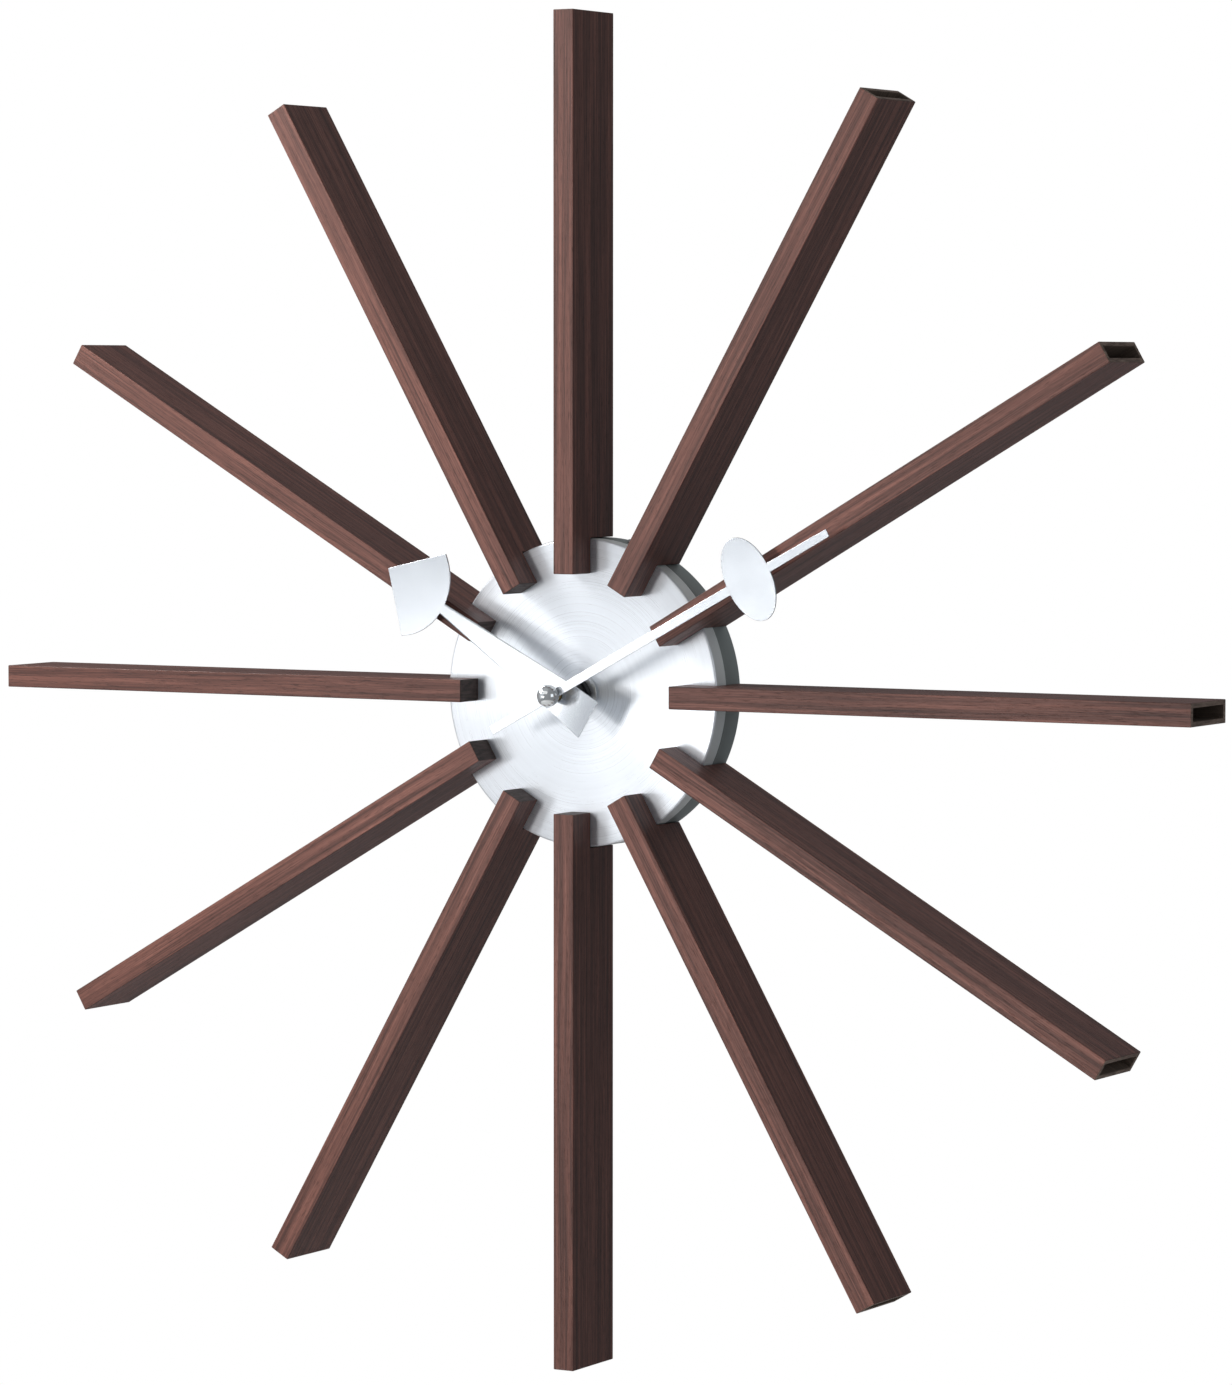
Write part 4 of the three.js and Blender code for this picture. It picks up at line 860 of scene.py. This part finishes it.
WASHER = [
    (BUSH_HOLE, 22.7),
    (4.4, 22.6),
    (8.3, 22.6),
    (8.5, 22.75),
    (8.5, 23.25),
    (8.35, 23.4),
    (4.5, 23.4),
    (BUSH_HOLE, 23.2),
]
stands_for(lathe("washer", WASHER, [BRIGHT_STEEL]), "zinc_steel", "dial_washer")


def hexagon_nut():
    """A hexagonal nut with turned chamfers front and back and a chamfered bore."""
    corner, low, high, chamfer_from = 6.35, 23.7, 26.7, 5.45
    lead = 0.35  # chamfer of the bore
    flat = corner * math.cos(math.radians(30))  # distance of a side from the axis
    slope = math.tan(math.radians(30))  # of the chamfers on the corners
    steps = 96
    columns = []
    for i in range(steps):
        angle = 2 * math.pi * i / steps
        off = (math.degrees(angle) % 60) - 30
        reach = flat / math.cos(math.radians(off))
        drop = max(0.05, (reach - chamfer_from) * slope)
        radii = [(BUSH_HOLE, low + lead), (BUSH_HOLE + lead, low), (chamfer_from, low), (reach, low + drop)]
        radii += [(reach, high - drop), (chamfer_from, high)]
        radii += [(BUSH_HOLE + lead, high), (BUSH_HOLE, high - lead)]
        columns.append([(r * math.cos(angle), -h, r * math.sin(angle)) for r, h in radii])
    rows = len(columns[0])
    vertices = [v for column in columns for v in column]
    faces = []
    for i in range(steps):
        a, b = i * rows, ((i + 1) % steps) * rows
        faces += [[a + k, a + (k + 1) % rows, b + (k + 1) % rows, b + k] for k in range(rows)]
    return mesh_object("hex_nut", vertices, faces, [BLACKED], 25)


stands_for(hexagon_nut(), "blackened_steel", "bush_nut")


# ------------------------------------------------------------------ hands

def hand(name, half_outline, hole, back, folds=()):
    """A sheet hand that points to twelve, from its right-hand outline of (half width, z) points."""
    round_hole = [hole * math.sin(math.radians(a)) for a in range(-90, 91, 10)]
    levels = sorted({z for _, z in half_outline} | set(round_hole) | set(folds))

    def width(z):
        for (w0, z0), (w1, z1) in zip(half_outline, half_outline[1:]):
            if z0 <= z <= z1:
                return w0 if z1 == z0 else w0 + (w1 - w0) * (z - z0) / (z1 - z0)
        return half_outline[-1][0]

    vertices, faces = [], []
    for side in (-1, 1):
        start = len(vertices)
        for z in levels:
            inner = math.sqrt(max(0.0, hole * hole - z * z))
            for x in (inner, width(z)):
                vertices += [(side * x, -back, z), (side * x, -back - HAND_SHEET, z)]
        for i in range(len(levels) - 1):
            a, b = start + 4 * i, start + 4 * i + 4
            faces += [[a, a + 2, b + 2, b], [a + 1, a + 3, b + 3, b + 1], [a + 2, a + 3, b + 3, b + 2]]
            if abs(levels[i] + levels[i + 1]) < 2 * hole:
                faces.append([a, a + 1, b + 1, b])
        for z_index in (0, len(levels) - 1):
            a = start + 4 * z_index
            if width(levels[z_index]) > 0:
                faces.append([a, a + 1, a + 3, a + 2])
    return bevel(mesh_object(name, vertices, faces, [HAND_METAL]), 0.14)


def bend_tail(thing):
    """The hour hand's tail slopes forward, away from the dial, from just below its hub."""
    for vertex in thing.data.vertices:
        beyond = -TAIL_BEND_AT * MM - vertex.co.z
        if beyond > 0:
            vertex.co.y -= beyond * math.tan(math.radians(TAIL_BEND))
    thing.data.update()


def minute_outline():
    """Tail, round boss, slim bar, oval paddle and tip."""
    tip, tail, tip_half, tail_half = 157.5, -35, 1.75, 1.9
    boss, oval_at, across, along = 4.1, 113.5, 19.6, 11.3

    def bar(z):
        return tail_half + (tip_half - tail_half) * (z - tail) / (tip - tail)

    points = [(bar(tail), tail)]
    points += [(x, z) for x, z in arc((0, 0), boss, -90, 90, 36) if x > bar(z)]
    sweep = [math.radians(-90 + 180 * i / 120) for i in range(121)]
    oval = [(across * math.cos(a), oval_at + along * math.sin(a)) for a in sweep]
    points += [(x, z) for x, z in oval if x > bar(z)]
    points.append((bar(tip), tip))
    return points


def hour_outline():
    """A long wedge, then a right-angled point with a bowed inner edge."""
    tip, tail, tail_half, neck, neck_half = 104.3, -20, 9.5, 72, 2.4
    bow_at, bow = 97.2, 26.7
    rise = tip - bow_at
    # the point's sides fall at 45 degrees until they meet the bow, this far across
    across = rise / 2 + math.sqrt(bow**2 - rise**2 / 2) / math.sqrt(2)

    def wedge(z):
        return tail_half + (neck_half - tail_half) * (z - tail) / (neck - tail)

    corner = math.degrees(math.atan2(tip - across - bow_at, across))
    points = [(wedge(tail), tail)]
    points += [(x, z) for x, z in arc((0, bow_at), bow, -90, corner, 60) if x > wedge(z)]
    points.append((0.0, tip))
    return points


hour_hand = turned_to(hand("hand_hour", hour_outline(), 2.8, HOUR_BACK, [-TAIL_BEND_AT]), HOUR_ANGLE)
stands_for(hour_hand, "satin_aluminium", "hour_hand")
bend_tail(hour_hand)
COLLET = [(2.8, 39.6), (4.25, 39.6), (4.4, 39.75), (4.4, 43.0), (4.7, 43.3), (2.8, 43.3)]
collet = lathe("hand_collet", COLLET, [BLACKED], 64)
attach(collet, "hour")
minute_hand = turned_to(hand("hand_minute", minute_outline(), 1.5, MINUTE_BACK), MINUTE_ANGLE)
stands_for(minute_hand, "satin_aluminium", "minute_hand")

# (radius, height): the blind hole for the arbor's tip, the foot and the ball
CAP_NUT = [
    (0, 53.5),
    (1.5, 53.2),
    (1.5, 49.9),
    (4.4, 49.9),
    (4.6, 50.1),
    *arc((0, 52), 5, -21, 90, 40)[:-1],
    (0, 57),
]
stands_for(lathe("nut_cap", CAP_NUT, [CHROME]), "chrome", "cap_nut")


# ------------------------------------------------------------------ battery and knob

def cell():
    """An AA cell along x: foil sleeve shrunk over both ends of a steel can, with its raised nub."""
    radius = 7.25
    profile = [
        (0, -25.2),
        *arc((2.45, -24.9), 0.3, -90, 0, 3),
        (2.75, -24.1),
        (3.4, -24.0),
        (5.4, -23.7),
        (5.6, -24.0),
        *arc((6.65, -23.4), 0.6, -90, 0, 5),
        (radius, -22.6),
        (radius - 0.12, -22.4),
        (radius, -22.2),
        (radius, 23.5),
        *arc((6.65, 23.7), 0.6, 0, 90, 5),
        (5.9, 24.3),
        (5.7, 24.0),
        (3.0, 24.0),
        (2.7, 24.3),
        (0, 24.3),
    ]
    sleeve_part = [1] * 8 + [0] * 15 + [1] * 6  # bare steel at both ends
    body = lathe("cell", profile, [JACKET, STEEL], 64, closed=False, material_of=sleeve_part)
    lay = Matrix.Translation((0, -CELL_HEIGHT * MM, CELL_UP * MM)) @ Matrix.Rotation(-math.pi / 2, 4, "Z")
    body.data.transform(lay)
    return body


stands_for(cell(), "cell_jacket", "battery")
stands_for(refined("knob", "setting_knob", [BLACK], 0.18), "black_plastic", "setting_knob")


# ------------------------------------------------------------------ pieces that keep their CAD shape

KEPT = {
    "train_plate": BRASS,
    "minute_arbor": STEEL,
    "clutch_spring": BRASS,
    "centre_wheel": BRASS,
    "third_wheel": IVORY,
    "seconds_wheel": IVORY,
    "intermediate_wheel": IVORY,
    "rotor": STEEL,
    "hour_wheel": BRASS,
    "motion_wheel": IVORY,
    "stator": STEEL,
    "coil": COPPER,
    "coil_core": STEEL,
    "circuit_board": BOARD,
    "crystal": CHROME,
    "chip": BLACK,
    "contact_positive": STEEL,
    "contact_negative": STEEL,
}
for node, material in KEPT.items():
    mesh = frame["nodes"][node].data
    mesh.materials.clear()
    mesh.materials.append(material)


# ------------------------------------------------------------------ floor

FLOOR = -1.1  # metres below the dial's axis

matt = Shader("floor_pale")
speckle = matt.noise(matt.place(), 40, 4, 0.6)
matt.set("Base Color", matt.ramp(speckle, (0.3, (0.80, 0.80, 0.80)), (0.7, (0.84, 0.84, 0.84))))
matt.set("Roughness", matt.remap(speckle, 0.3, 0.7, 0.7, 0.8))
floor = lathe("floor", [(0, 0), (1150, 0), (1240, 1.5), (1260, 6)], [matt.material], closed=False)
floor.data.transform(Matrix.Translation((0, -0.1, FLOOR)) @ Matrix.Rotation(-math.pi / 2, 4, "X"))
